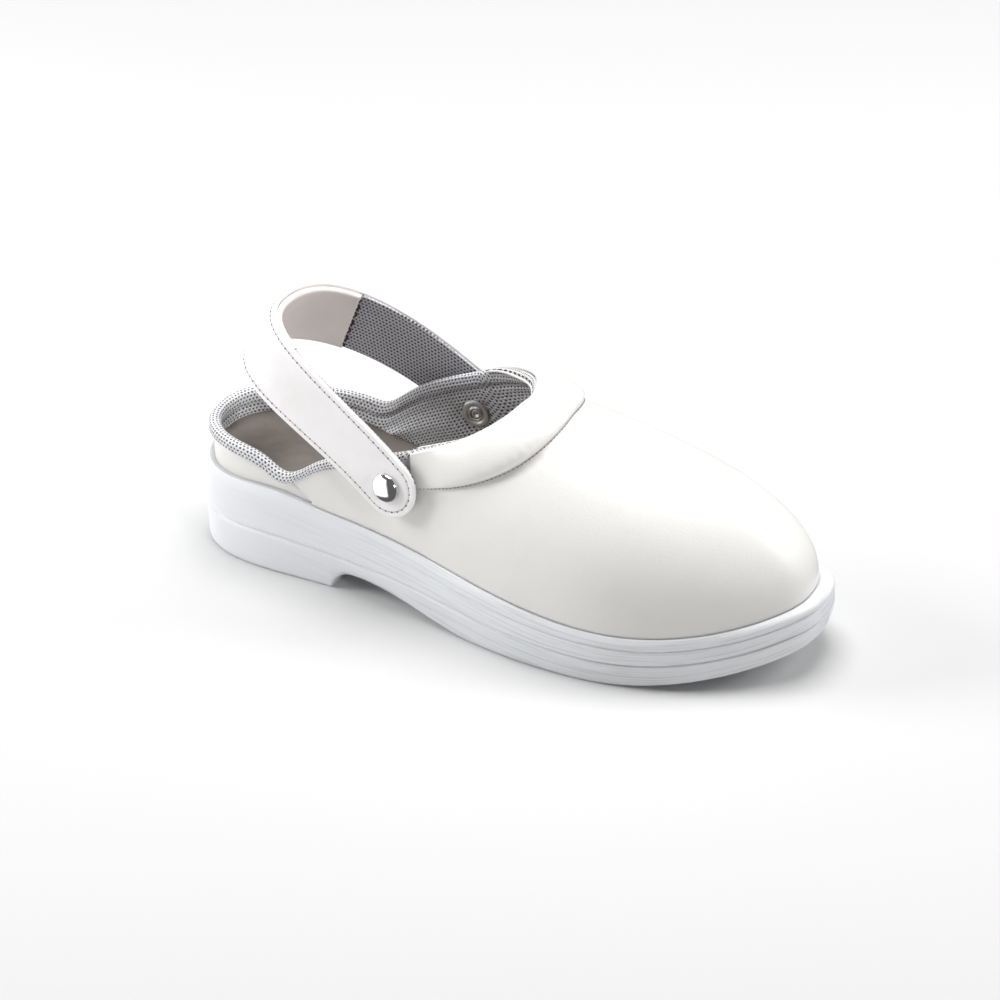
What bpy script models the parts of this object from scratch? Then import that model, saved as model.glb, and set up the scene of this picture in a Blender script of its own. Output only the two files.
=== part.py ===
# Hospital clog for a right foot: a closed toe, an open low heel and a swivel strap on two rivets.
# Lengths are in metres. X runs from the heel to the toe, Y to the big toe's side, Z up from the floor.

import functools
import math

import bmesh
import bpy
import numpy as np
from mathutils import Matrix, Vector

# Overall form
LENGTH = 0.285
BALL_WIDTH = 0.105
HEEL_HEIGHT = 0.0385
RIM_RISE = 0.0138
INSTEP_RISE = 0.0565
TOE_SPRING = 0.013
ARCH_RISE = 0.0085
ORIGIN_ALONG = 0.174

# Sole
SOLE_LIP = 0.0024
LEDGE_DROP = 0.0006
SIDE_GROOVE = 0.0011
BOTTOM_BEVEL = 0.0010
CHANNEL_DEPTH = 0.0025
CHANNEL_WIDTH = 0.0036
CHANNEL_MARGIN = 0.011
CHANNEL_BOW = 0.004

ARCH_BREAST = 0.268 * LENGTH
ARCH_TOP = 0.305 * LENGTH
ARCH_END = 0.53 * LENGTH
CUT_REACH = 0.010
CUT_MARGIN = 0.001

# Walls and pieces laid on them
CLEARANCE = 0.0003
UPPER_WALL = 0.0022
INSOLE_THICKNESS = 0.004
INSOLE_GAP = 0.0013
INSOLE_EDGE = 0.0010
ROLL_HEIGHT = 0.0200
ROLL_BULGE = 0.0046
ROLL_SKIN = 0.0011
BINDING_DEPTH = 0.0036
BINDING_THICKNESS = 0.0011
BINDING_EDGE = 0.0001
INNER_LEG = 0.0034

# Strap and rivets
RIVET_ALONG = 0.383
RIVET_HEIGHT = 0.0605
STRAP_LIFT = 0.0025
STRAP_THICKNESS = 0.0020
STRAP_ARM_WIDTH = 0.0275
STRAP_BACK_WIDTH = 0.0330
STRAP_REACH = 0.0810
STRAP_RISE = 0.0385
STRAP_SLOPE = math.radians(37.0)
STRAP_BACK_TILT = math.radians(30.0)
LINING_THICKNESS = 0.0013
PAD_THICKNESS = 0.0030
LINING_INSET = 0.0030
PAD_SHARE = 0.31
CAP_RADIUS = 0.0065
CAP_HEIGHT = 0.0030
CAP_RIM = 0.0007
POST_RADIUS = 0.0020
BACK_RADIUS = 0.0058
BACK_THICKNESS = 0.0012
BACK_HUB = 0.0009

# How finely the curved walls are cut
AROUND = 84
UPPER_STEPS = 9
INNER_STEPS = 6
ROLL_STEPS = 36
STRAP_STEPS = 44
LINING_STEPS = 12
PAD_STEPS = 18
RIVET_SIDES = 18

FULL_TURN = 2 * math.pi

# Plan of the sole: share of the length, then outer and inner side as shares of the ball width.
OUTLINE = (
    # along, lateral, medial
    (0.00, 0.000, 0.000),
    (0.03, -0.215, 0.215),
    (0.12, -0.330, 0.332),
    (0.28, -0.334, 0.345),
    (0.42, -0.376, 0.372),
    (0.55, -0.448, 0.436),
    (0.66, -0.475, 0.500),
    (0.76, -0.450, 0.525),
    (0.86, -0.350, 0.500),
    (0.94, -0.195, 0.415),
    (0.98, -0.070, 0.310),
    (1.00, 0.095, 0.095),
)

# Height of the line where upper and sole meet, as a share of the heel height.
FEATHER = (
    # along, height
    (0.00, 0.995),
    (0.10, 1.000),
    (0.19, 1.005),
    (0.24, 0.940),
    (0.30, 0.890),
    (0.42, 0.810),
    (0.56, 0.700),
    (0.67, 0.618),
    (0.78, 0.592),
    (0.88, 0.657),
    (0.95, 0.765),
    (1.00, 0.883),
)

# Side of the sole from its top edge down: share of the side's height, and how far in, in lips.
SOLE_SIDE = (
    # height, inset in lips, depth in side grooves
    (1.000, 0.62, 0.0),
    (0.970, 0.34, 0.0),
    (0.905, 0.12, 0.0),
    (0.800, 0.01, 0.0),
    (0.765, 0.00, 0.7),
    (0.730, 0.00, 0.0),
    (0.490, 0.03, 0.0),
    (0.450, 0.03, 1.0),
    (0.410, 0.03, 0.0),
    (0.200, 0.15, 0.0),
)

# One row for each column of the upper, from its foot on the sole to its point on the collar.
# Lip is in sole lips, rise and drop in shares of the column's height, lean in walls,
# run in shares of the plan distance, collar places in shares of length, ball width and rim to instep.
UPPER_COLUMNS = (
    # along, side, lip, rise, lean, run, drop, collar along, collar across, collar lift
    (1.00, -1, 2.7, 0.56, 0.9, 0.50, 0.15, 0.541, 0.000, 0.985),
    (0.93, -1, 1.5, 0.56, 1.0, 0.48, 0.17, 0.539, -0.085, 0.975),
    (0.78, -1, 1.0, 0.52, 1.3, 0.46, 0.22, 0.528, -0.190, 0.915),
    (0.62, -1, 1.0, 0.48, 1.3, 0.42, 0.27, 0.490, -0.285, 0.770),
    (0.48, -1, 1.0, 0.42, 0.9, 0.36, 0.32, 0.437, -0.325, 0.605),
    (0.38, -1, 1.0, 0.36, 0.5, 0.34, 0.34, 0.380, -0.338, 0.450),
    (0.29, -1, 1.0, 0.34, 0.3, 0.34, 0.34, 0.294, -0.326, 0.235),
    (0.228, -1, 1.0, 0.34, 0.2, 0.34, 0.34, 0.237, -0.321, 0.055),
    (0.184, -1, 1.0, 0.34, 0.2, 0.34, 0.34, 0.190, -0.318, -0.130),
    (0.15, -1, 1.0, 0.34, 0.2, 0.34, 0.34, 0.156, -0.313, -0.050),
    (0.10, -1, 1.0, 0.34, 0.2, 0.34, 0.34, 0.105, -0.298, 0.025),
    (0.03, -1, 1.0, 0.34, 0.2, 0.34, 0.34, 0.036, -0.190, 0.020),
    (0.00, 1, 1.0, 0.34, 0.2, 0.34, 0.34, 0.011, 0.000, 0.015),
    (0.03, 1, 1.0, 0.34, 0.2, 0.34, 0.34, 0.036, 0.190, 0.010),
    (0.10, 1, 1.0, 0.34, 0.2, 0.34, 0.34, 0.105, 0.300, -0.010),
    (0.19, 1, 1.0, 0.34, 0.2, 0.34, 0.34, 0.197, 0.324, 0.012),
    (0.222, 1, 1.0, 0.34, 0.2, 0.34, 0.34, 0.228, 0.327, 0.020),
    (0.252, 1, 1.0, 0.34, 0.2, 0.34, 0.34, 0.258, 0.328, 0.165),
    (0.29, 1, 1.0, 0.34, 0.3, 0.34, 0.34, 0.292, 0.330, 0.330),
    (0.38, 1, 1.0, 0.36, 0.5, 0.34, 0.34, 0.372, 0.334, 0.590),
    (0.48, 1, 1.0, 0.42, 0.9, 0.36, 0.32, 0.422, 0.320, 0.745),
    (0.62, 1, 1.0, 0.48, 1.3, 0.42, 0.27, 0.473, 0.255, 0.880),
    (0.78, 1, 1.5, 0.52, 1.3, 0.46, 0.22, 0.510, 0.175, 0.965),
    (0.93, 1, 2.5, 0.56, 1.0, 0.48, 0.17, 0.530, 0.088, 0.995),
)

# Cross-section of the collar roll: down the wall in roll heights, out in bulges, laid on the outer face.
ROLL_OUTER = (
    # down, out
    (1.00, 0.16),
    (0.97, 0.45),
    (0.86, 0.80),
    (0.65, 1.00),
    (0.38, 0.98),
    (0.14, 0.72),
    (-0.03, 0.30),
)

# How thick the binding's outer fold is along the heel: thin under the strap's arms.
BINDING_FULLNESS = (
    # share, fullness
    (0.00, 0.45),
    (0.15, 0.45),
    (0.27, 1.00),
    (0.73, 1.00),
    (0.85, 0.45),
    (1.00, 0.45),
)

# How full the roll is along the collar: share of its length from either end.
ROLL_FULLNESS = (
    # share, fullness
    (0.00, 0.00),
    (0.06, 0.10),
    (0.13, 0.75),
    (0.20, 1.00),
    (0.80, 1.00),
    (0.87, 0.75),
    (0.94, 0.10),
    (1.00, 0.00),
)

# Height of the roll along its length, the inner end first, as a share of the roll height.
ROLL_HEIGHTS = (
    # along, height
    (0.00, 0.70),
    (0.07, 0.85),
    (0.17, 1.00),
    (0.34, 0.99),
    (0.50, 0.90),
    (0.66, 0.99),
    (0.83, 1.00),
    (0.93, 0.85),
    (1.00, 0.70),
)


def closed_spline(knots, values, at):
    """A smooth periodic curve over one full turn through the values at the knots."""
    knots = np.asarray(knots, float)
    values = np.asarray(values, float)
    count = len(knots)
    gap = np.diff(np.append(knots, knots[0] + FULL_TURN))
    matrix = np.zeros((count, count))
    right = np.zeros(count)
    for i in range(count):
        before, after = i - 1, (i + 1) % count
        matrix[i, before] += gap[before]
        matrix[i, i] += 2 * (gap[before] + gap[i])
        matrix[i, after] += gap[i]
        slope_after = (values[after] - values[i]) / gap[i]
        slope_before = (values[i] - values[before]) / gap[before]
        right[i] = 6 * (slope_after - slope_before)
    bend = np.linalg.solve(matrix, right)
    at = (np.asarray(at, float) - knots[0]) % FULL_TURN + knots[0]
    i = np.clip(np.searchsorted(knots, at, side="right") - 1, 0, count - 1)
    after = (i + 1) % count
    step = gap[i]
    near, far = at - knots[i], step - (at - knots[i])
    cubic = (bend[i] * far**3 + bend[after] * near**3) / (6 * step)
    start = (values[i] / step - bend[i] * step / 6) * far
    end = (values[after] / step - bend[after] * step / 6) * near
    return cubic + start + end


def turn_of(along, side):
    """Angle round the shoe, 0 at the toe and half a turn at the heel, the outer side first."""
    angle = math.acos(min(1.0, max(-1.0, 2 * along - 1)))
    return angle if side < 0 or along in (0.0, 1.0) else FULL_TURN - angle


def outline_across(turn):
    rows = [(turn_of(along, -1), lateral) for along, lateral, _ in OUTLINE]
    rows += [(turn_of(along, 1), medial) for along, _, medial in OUTLINE[1:-1]]
    rows.sort()
    return BALL_WIDTH * closed_spline(*zip(*rows), turn)


def outline(turn, inset=0.0):
    """Plan of the sole at these angles, moved in by the inset."""
    turn = np.asarray(turn, float)
    x, y = LENGTH * (1 + np.cos(turn)) / 2, outline_across(turn)
    step = 1e-3
    ahead, behind = turn + step, turn - step
    dx = LENGTH * (np.cos(ahead) - np.cos(behind)) / 2
    dy = outline_across(ahead) - outline_across(behind)
    size = np.hypot(dx, dy)
    out = np.stack([-dy / size, dx / size], -1)
    return np.stack([x, y], -1) - out * np.reshape(inset, (-1, 1)), out


def feather_height(x):
    rows = [(turn_of(along, -1), height) for along, height in FEATHER]
    rows += [(turn_of(along, 1), height) for along, height in FEATHER[1:-1]]
    rows.sort()
    turn = np.arccos(np.clip(2 * np.asarray(x, float) / LENGTH - 1, -1, 1))
    return HEEL_HEIGHT * closed_spline(*zip(*rows), turn)


def column_values(turn):
    """The upper's table read at these angles, one array for each of its columns."""
    rows = sorted((turn_of(row[0], row[1]), row[2:]) for row in UPPER_COLUMNS)
    knots = [row[0] for row in rows]
    return [closed_spline(knots, values, turn) for values in zip(*(row[1] for row in rows))]


def collar_line(turn):
    along, across, lift = column_values(turn)[5:]
    height = HEEL_HEIGHT + RIM_RISE + (INSTEP_RISE - RIM_RISE) * lift
    return np.stack([LENGTH * along, BALL_WIDTH * across, height], -1)


def upper_face(turn, up):
    """Outer face of the upper: up is 0 at the sole and 1 at the collar."""
    turn, up = np.broadcast_arrays(np.asarray(turn, float), np.asarray(up, float))
    lip, rise, lean, run, drop = column_values(turn)[:5]
    plan, out = outline(turn, SOLE_LIP * lip)
    foot = np.column_stack([plan, feather_height(plan[:, 0]) - LEDGE_DROP + CLEARANCE])
    collar = collar_line(turn)
    tall = (collar - foot)[:, 2:]
    upward = np.array([[0.0, 0.0, 1.0]])
    low = foot + upward * tall * rise[:, None]
    low[:, :2] += out * (UPPER_WALL * lean)[:, None]
    high = collar - upward * tall * drop[:, None]
    high[:, :2] += (foot - collar)[:, :2] * run[:, None]
    t = up[:, None]
    return (1 - t) ** 3 * foot + 3 * (1 - t) ** 2 * t * low + 3 * (1 - t) * t**2 * high + t**3 * collar


def upper_normal(turn, up):
    step = 1e-4
    turn, up = np.broadcast_arrays(np.asarray(turn, float), np.asarray(up, float))
    round_it = upper_face(turn + step, up) - upper_face(turn - step, up)
    up_it = upper_face(turn, up + step) - upper_face(turn, up - step)
    normal = np.cross(up_it, round_it)
    return normal / np.linalg.norm(normal, axis=1)[:, None]


def upper_offset(turn, up, out):
    """A point this far outside the upper's outer face."""
    return upper_face(turn, up) + upper_normal(turn, up) * np.reshape(out, (-1, 1))


def stations(count):
    """Angles round the shoe, spread so that the columns stand evenly apart."""
    even = np.arange(count) * FULL_TURN / count
    return even + 0.15 * np.sin(2 * even)


def make_object(name, points, faces, material):
    """A closed mesh whose faces point out."""
    mesh = bpy.data.meshes.new(name)
    mesh.from_pydata([tuple(p) for p in points], [], faces)
    work = bmesh.new()
    work.from_mesh(mesh)
    bmesh.ops.recalc_face_normals(work, faces=work.faces)
    if work.calc_volume(signed=True) < 0:
        bmesh.ops.reverse_faces(work, faces=work.faces)
    work.to_mesh(mesh)
    work.free()
    mesh.materials.append(material)
    mesh.shade_smooth()
    mesh.set_sharp_from_angle(angle=math.radians(38))
    piece = bpy.data.objects.new(name, mesh)
    bpy.context.scene.collection.objects.link(piece)
    piece.parent = shoe
    return piece


def grid_faces(rows, columns, closed_rows=False, closed_columns=False):
    """Quads between the rows and columns of a grid of points."""
    faces = []
    for r in range(rows if closed_rows else rows - 1):
        for c in range(columns if closed_columns else columns - 1):
            below, beside = (r + 1) % rows, (c + 1) % columns
            faces.append(
                (r * columns + c, r * columns + beside, below * columns + beside, below * columns + c)
            )
    return faces


def cap_faces(start, count):
    """Strips across a ring whose halves stand at the same places along the shoe."""
    half = count // 2
    faces = []
    for i in range(half):
        left, right = (start + i, start + i + 1), (start + (count - i) % count, start + count - i - 1)
        corners = [left[0], left[1], right[1], right[0]]
        faces.append(tuple(dict.fromkeys(corners)))
    return faces


def material(name, color, roughness, metallic=0.0):
    made = bpy.data.materials.new(name)
    made.use_nodes = True
    shader = made.node_tree.nodes["Principled BSDF"]
    shader.inputs["Base Color"].default_value = (*color, 1.0)
    shader.inputs["Roughness"].default_value = roughness
    shader.inputs["Metallic"].default_value = metallic
    made.diffuse_color = (*color, 1.0)
    return made


def cut(piece, cutter, name):
    """A Boolean cut that stays on the piece. The cutter isn't part of the shoe."""
    cutter.hide_render = True
    cutter.display_type = "WIRE"
    modifier = piece.modifiers.new(name, "BOOLEAN")
    modifier.operation = "DIFFERENCE"
    modifier.solver = "EXACT"
    modifier.object = cutter


def toe_lift(x):
    """Height of the sole's underside over the floor, which rises towards the toe."""
    start = 0.72 * LENGTH
    return TOE_SPRING * np.clip((np.asarray(x, float) - start) / (LENGTH - start), 0, 1) ** 2


def build_sole():
    turn = stations(AROUND)
    lip = SOLE_LIP * column_values(turn)[0]
    rings = []
    ledge, _ = outline(turn, lip)
    ledge_height = feather_height(ledge[:, 0]) - LEDGE_DROP
    rings.append(np.column_stack([ledge, ledge_height]))
    for height, inset, groove in SOLE_SIDE:
        plan, _ = outline(turn, lip * inset + SIDE_GROOVE * groove)
        top, bottom = feather_height(plan[:, 0]), toe_lift(plan[:, 0])
        rings.append(np.column_stack([plan, bottom + (top - bottom) * height]))
    for inset, height in ((0.30 * SOLE_LIP, BOTTOM_BEVEL), (0.30 * SOLE_LIP + BOTTOM_BEVEL, 0.0)):
        plan, _ = outline(turn, inset)
        rings.append(np.column_stack([plan, toe_lift(plan[:, 0]) + height]))
    points = np.concatenate(rings)
    faces = grid_faces(len(rings), AROUND, closed_columns=True)
    faces += cap_faces(0, AROUND)
    faces += cap_faces((len(rings) - 1) * AROUND, AROUND)
    sole = make_object("sole", points, faces, material("sole_white", (0.80, 0.81, 0.82), 0.55))
    cut(sole, build_arch_cutter(), "arch")
    cut(sole, build_channel_cutter(), "channels")
    return sole


def extrude_profile(name, profile, half_width):
    """A closed XZ profile drawn out across the shoe, as a cutter."""
    count = len(profile)
    points = [(x, -half_width, z) for x, z in profile] + [(x, half_width, z) for x, z in profile]
    faces = [tuple(range(count)), tuple(range(count, 2 * count))]
    faces += [(i, (i + 1) % count, count + (i + 1) % count, count + i) for i in range(count)]
    return make_object(name, points, faces, material(name, (0.5, 0.5, 0.5), 0.5))


def build_arch_cutter():
    """The hollow under the waist, from the heel's rounded breast to the tread of the forefoot."""
    profile = [(ARCH_BREAST - CUT_MARGIN, -CUT_REACH), (ARCH_BREAST, 0.0)]
    for step in range(1, 8):
        turn = step / 7 * math.pi / 2
        x = ARCH_BREAST + (ARCH_TOP - ARCH_BREAST) * (1 - math.cos(turn))
        profile.append((x, ARCH_RISE * math.sin(turn)))
    for step in range(1, 13):
        share = step / 12
        drop = share * share * (3 - 2 * share)
        x = ARCH_TOP + (ARCH_END - ARCH_TOP) * share
        profile.append((x, ARCH_RISE * (1 - drop) - CUT_MARGIN * share / 5))
    profile.append((ARCH_END + CUT_MARGIN, -CUT_REACH))
    return extrude_profile("arch_cutter", profile, BALL_WIDTH)


def build_channel_cutter():
    """Bowed channels that part the tread into lugs, inside a rim left whole."""
    points, faces = [], []
    places = [0.085, 0.135, 0.185] + [0.575 + 0.052 * i for i in range(7)]
    for place in places:
        x = place * LENGTH
        turn = turn_of(place, -1)
        lateral, medial = outline_across(turn), outline_across(FULL_TURN - turn)
        low, high = lateral + CHANNEL_MARGIN, medial - CHANNEL_MARGIN
        start = len(points)
        steps = 6
        for i in range(steps + 1):
            share = i / steps
            y = low + (high - low) * share
            middle = x + CHANNEL_BOW * (1 - (2 * share - 1) ** 2)
            half = CHANNEL_WIDTH / 2
            top = float(toe_lift(middle)) + CHANNEL_DEPTH
            for dx, z in ((-half, -CUT_REACH), (half, -CUT_REACH), (half * 0.8, top), (-half * 0.8, top)):
                points.append((middle + dx, y, z))
        for i in range(steps):
            a, b = start + 4 * i, start + 4 * (i + 1)
            faces += [(a + k, a + (k + 1) % 4, b + (k + 1) % 4, b + k) for k in range(4)]
        faces.append(tuple(start + k for k in range(4)))
        faces.append(tuple(start + 4 * steps + k for k in range(4)))
    return make_object("channel_cutter", points, faces, material("channel", (0.5, 0.5, 0.5), 0.5))


def build_insole():
    turn = stations(AROUND)
    lip = SOLE_LIP * column_values(turn)[0]
    inset = lip + UPPER_WALL + INSOLE_GAP
    rings = []
    levels = ((0.0, 0.0), (0.0, INSOLE_THICKNESS - INSOLE_EDGE), (INSOLE_EDGE, INSOLE_THICKNESS))
    for more, height in levels:
        plan, _ = outline(turn, inset + more)
        base = feather_height(plan[:, 0]) - LEDGE_DROP + CLEARANCE
        rings.append(np.column_stack([plan, base + height]))
    points = np.concatenate(rings)
    faces = grid_faces(len(rings), AROUND, closed_columns=True)
    faces += cap_faces(0, AROUND)
    faces += cap_faces((len(rings) - 1) * AROUND, AROUND)
    return make_object("insole", points, faces, material("insole_grey", (0.26, 0.23, 0.20), 0.9))


def build_upper():
    turn = stations(AROUND)
    rings = []
    for step in range(UPPER_STEPS + 1):
        share = step / UPPER_STEPS
        rings.append(upper_offset(turn, share, 0.0))
    for step in range(INNER_STEPS, -1, -1):
        rings.append(upper_offset(turn, step / INNER_STEPS, -UPPER_WALL))
    points = np.concatenate(rings)
    faces = grid_faces(len(rings), AROUND, closed_rows=True, closed_columns=True)
    upper = make_object("upper", points, faces, material("upper_white", (0.86, 0.85, 0.83), 0.45))
    cut(upper, build_bore_cutter("upper_bores"), "rivet_bores")
    return upper


def collar_ends():
    """Angles where the roll stops and the heel binding starts, in front of each rivet."""
    lateral = turn_of(0.425, -1)
    medial = turn_of(0.425, 1)
    return lateral, medial


def column_length(turn):
    """Length of each column, from the sole to the collar."""
    steps = np.linspace(0, 1, 24)
    path = np.array([upper_face(turn, np.full(len(turn), s)) for s in steps])
    return np.linalg.norm(np.diff(path, axis=0), axis=2).sum(axis=0)


def on_collar(turn, down, out):
    """A point on the wall near the collar: down it from the edge and out from its face, in metres."""
    turn, down, out = np.broadcast_arrays(np.asarray(turn, float), down, out)
    top = upper_face(turn, 1.0)
    above = top - upper_face(turn, 0.98)
    above /= np.linalg.norm(above, axis=1)[:, None]
    under = np.maximum(down, 1e-5)
    share = 1 - under / column_length(turn)
    for _ in range(4):
        reached = np.linalg.norm(top - upper_face(turn, share), axis=1)
        share = 1 - (1 - share) * under / reached
    share = np.where(down > 0, share, 1.0)
    over = np.where(down > 0, 0.0, -down)
    return upper_offset(turn, share, out) + above * over[:, None]


def swept_edge(name, turn, section, closed, made_of):
    """A band along the collar: its section is a loop of (down, out) pairs for each angle."""
    rings = [on_collar(turn, down, out) for down, out in section]
    points = np.stack(rings, 1).reshape(-1, 3)
    count, rows = len(section), len(turn)
    faces = grid_faces(rows, count, closed_rows=closed, closed_columns=True)
    if not closed:
        faces.append(tuple(range(count)))
        faces.append(tuple((rows - 1) * count + i for i in range(count)))
    return make_object(name, points, faces, made_of)


def turn_for(turn, distance):
    """The angle that runs this far along the collar from here."""
    step = 0.01
    ends = collar_line(np.array([turn, turn + step]))
    return distance * step / float(np.linalg.norm(ends[1] - ends[0]))


def build_roll():
    """The padded roll round the throat, laid on the upper's outer face up to its edge."""
    lateral, medial = collar_ends()
    turn = np.linspace(medial - FULL_TURN, lateral, ROLL_STEPS)
    share = np.linspace(0, 1, ROLL_STEPS)
    full = np.interp(share, *zip(*ROLL_FULLNESS))
    height = ROLL_HEIGHT * np.interp(share, *zip(*ROLL_HEIGHTS))
    skin = CLEARANCE + ROLL_SKIN
    beside_binding = 2 * CLEARANCE + BINDING_EDGE
    section = []
    for down, out in ROLL_OUTER:
        section.append((down * height, skin + (ROLL_BULGE - ROLL_SKIN) * out * full))
    section += [
        (-BINDING_THICKNESS, beside_binding + ROLL_SKIN / 2),
        (-BINDING_THICKNESS * 0.8, beside_binding),
        (CLEARANCE / 2, beside_binding),
    ]
    section += [(height * down, CLEARANCE) for down in (0.04, 0.20, 0.40, 0.60, 0.80, 1.00)]
    return swept_edge("collar_roll", turn, section, False, material("roll_white", (0.86, 0.85, 0.83), 0.4))


def build_binding():
    """The mesh edge round the opening: folded out over heel and wings, tucked in behind the roll.

    Its fold stands at the wall's own stations, so that their facets run together."""
    lateral, medial = collar_ends()
    gap = 2 * CLEARANCE
    fold = BINDING_DEPTH / 2
    behind_roll = np.linspace(
        medial - FULL_TURN - turn_for(medial, gap), lateral + turn_for(lateral, gap), ROLL_STEPS
    )
    start = lateral + turn_for(lateral, gap + fold)
    end = medial - turn_for(medial, gap + fold)
    least = turn_for(lateral, fold)
    around = stations(AROUND)
    around = around[(around > start + least) & (around < end - least)]
    folded = np.concatenate([[start], around, [end]])
    turn = np.concatenate([behind_roll, folded])
    share = (folded - start) / (end - start)
    depth = BINDING_DEPTH * np.interp(share, (0.0, 0.3, 0.7, 1.0), (0.6, 1.0, 1.0, 0.6))
    none = np.full(ROLL_STEPS, -CLEARANCE)
    deep = np.concatenate([0 * none, depth])
    half = np.concatenate([none - BINDING_THICKNESS * 0.4, depth / 2])
    top = np.concatenate([none - BINDING_THICKNESS * 0.7, 0 * depth])
    slim = np.interp(share, *zip(*BINDING_FULLNESS))
    thick = np.concatenate([np.full(ROLL_STEPS, BINDING_EDGE), BINDING_THICKNESS * slim])
    inner = -UPPER_WALL - CLEARANCE
    crown = -CLEARANCE - BINDING_THICKNESS
    section = [
        (deep, CLEARANCE),
        ((deep + half) / 2, CLEARANCE + thick * 0.9),
        (half, CLEARANCE + thick),
        (top, CLEARANCE + thick),
        (crown * 0.9, 0.0),
        (crown, inner * 0.5),
        (crown * 0.8, inner - CLEARANCE),
        (0.0, inner - BINDING_THICKNESS),
        (INNER_LEG, inner - BINDING_THICKNESS * 0.8),
        (INNER_LEG, inner),
        (-CLEARANCE, inner),
        (-CLEARANCE, CLEARANCE),
    ]
    grey = material("mesh_grey", (0.42, 0.42, 0.44), 0.95)
    return swept_edge("collar_binding", turn, section, True, grey)


@functools.cache
def rivet_seat(side):
    """Where a rivet goes through the upper: a point on its outer face and the way out."""
    turn = turn_of(RIVET_ALONG, side)
    shares = np.linspace(0, 1, 101)
    heights = upper_face(turn, shares)[:, 2]
    share = np.array([np.interp(RIVET_HEIGHT, heights, shares)])
    return Vector(upper_face(turn, share)[0]), Vector(upper_normal(turn, share)[0])


def turned(name, profile, seat, axis, made_of):
    """A round piece: (radius, height) pairs turned about the axis through the seat."""
    points, faces = [], []
    rows = []
    for radius, height in profile:
        if radius == 0:
            rows.append([len(points)])
            points.append((0, 0, height))
            continue
        rows.append(list(range(len(points), len(points) + RIVET_SIDES)))
        for i in range(RIVET_SIDES):
            angle = FULL_TURN * i / RIVET_SIDES
            points.append((radius * math.cos(angle), radius * math.sin(angle), height))
    closed = profile[0][0] != 0
    pairs = list(zip(rows, rows[1:] + rows[:1] if closed else rows[1:]))
    for low, high in pairs:
        for i in range(RIVET_SIDES):
            j = (i + 1) % RIVET_SIDES
            corners = [low[i % len(low)], low[j % len(low)], high[j % len(high)], high[i % len(high)]]
            faces.append(tuple(dict.fromkeys(corners)))
    place = Matrix.Translation(seat) @ axis.to_track_quat("Z", "Y").to_matrix().to_4x4()
    points = [place @ Vector(p) for p in points]
    return make_object(name, points, faces, made_of)


def build_bore_cutter(name):
    """Both rivet bores, as one cutter."""
    grey = material(name, (0.5, 0.5, 0.5), 0.5)
    reach = 2 * CUT_REACH
    bore = POST_RADIUS + CLEARANCE
    profile = [(0, -reach), (bore, -reach), (bore, reach), (0, reach)]
    cutters = []
    for side in (-1, 1):
        seat, axis = rivet_seat(side)
        cutters.append(turned(name, profile, seat, axis, grey))
    joined = bmesh.new()
    for piece in cutters:
        joined.from_mesh(piece.data)
    joined.to_mesh(cutters[0].data)
    joined.free()
    bpy.data.objects.remove(cutters[1])
    return cutters[0]


def strap_face():
    """How far the strap's outer face stands off the upper at a rivet."""
    return STRAP_LIFT + LINING_THICKNESS + CLEARANCE + STRAP_THICKNESS


@functools.cache
def strap_half(side):
    """Control points of the strap's middle line on one side, from its rivet to the back."""
    seat, normal = rivet_seat(side)
    start = seat + normal * (strap_face() - STRAP_THICKNESS / 2)
    slope = Vector((-math.cos(STRAP_SLOPE), 0, math.sin(STRAP_SLOPE)))
    along = (slope - normal * slope.dot(normal)).normalized()
    back = Vector((start.x - STRAP_REACH, 0.0, start.z + STRAP_RISE))
    return start, along, normal, back


def strap_frames(shares):
    """Middle line, width direction and outward direction of the strap, side to side, at shares of it."""
    lateral, medial = strap_half(-1), strap_half(1)
    back = (lateral[3] + medial[3]) / 2
    bow = abs(lateral[0].y - medial[0].y)
    controls = []
    for (start, along, _, _), side in ((lateral, -1), (medial, 1)):
        leaving = start + along * STRAP_REACH * 0.58
        arriving = back + Vector((0, side * bow * 0.40, 0))
        controls.append((start, leaving, arriving, back))
    middle, widths, outs = [], [], []
    for share in shares:
        half, t = (0, share * 2) if share <= 0.5 else (1, (1 - share) * 2)
        a, b, c, d = controls[half]
        point = a * (1 - t) ** 3 + b * 3 * (1 - t) ** 2 * t + c * 3 * (1 - t) * t * t + d * t**3
        along = (b - a) * (1 - t) ** 2 + (c - b) * 2 * (1 - t) * t + (d - c) * t * t
        along.normalize()
        normal = (lateral, medial)[half][2]
        first = along.cross(normal) * (1 if half == 0 else -1)
        if first.z < 0:
            first.negate()
        last = Vector((math.sin(STRAP_BACK_TILT), 0, math.cos(STRAP_BACK_TILT)))
        ease = t * t * (3 - 2 * t)
        width = first.lerp(last, ease)
        width = (width - along * width.dot(along)).normalized()
        out = along.cross(width) * (-1 if half == 0 else 1)
        middle.append(point)
        widths.append(width)
        outs.append(out)
    return middle, widths, outs


@functools.cache
def strap_length_table():
    """Shares of the strap's curve and the length reached at each."""
    shares = np.linspace(0, 1, 241)
    middle, _, _ = strap_frames(shares)
    steps = [0.0] + [(b - a).length for a, b in zip(middle, middle[1:])]
    return shares, np.cumsum(steps)


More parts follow.
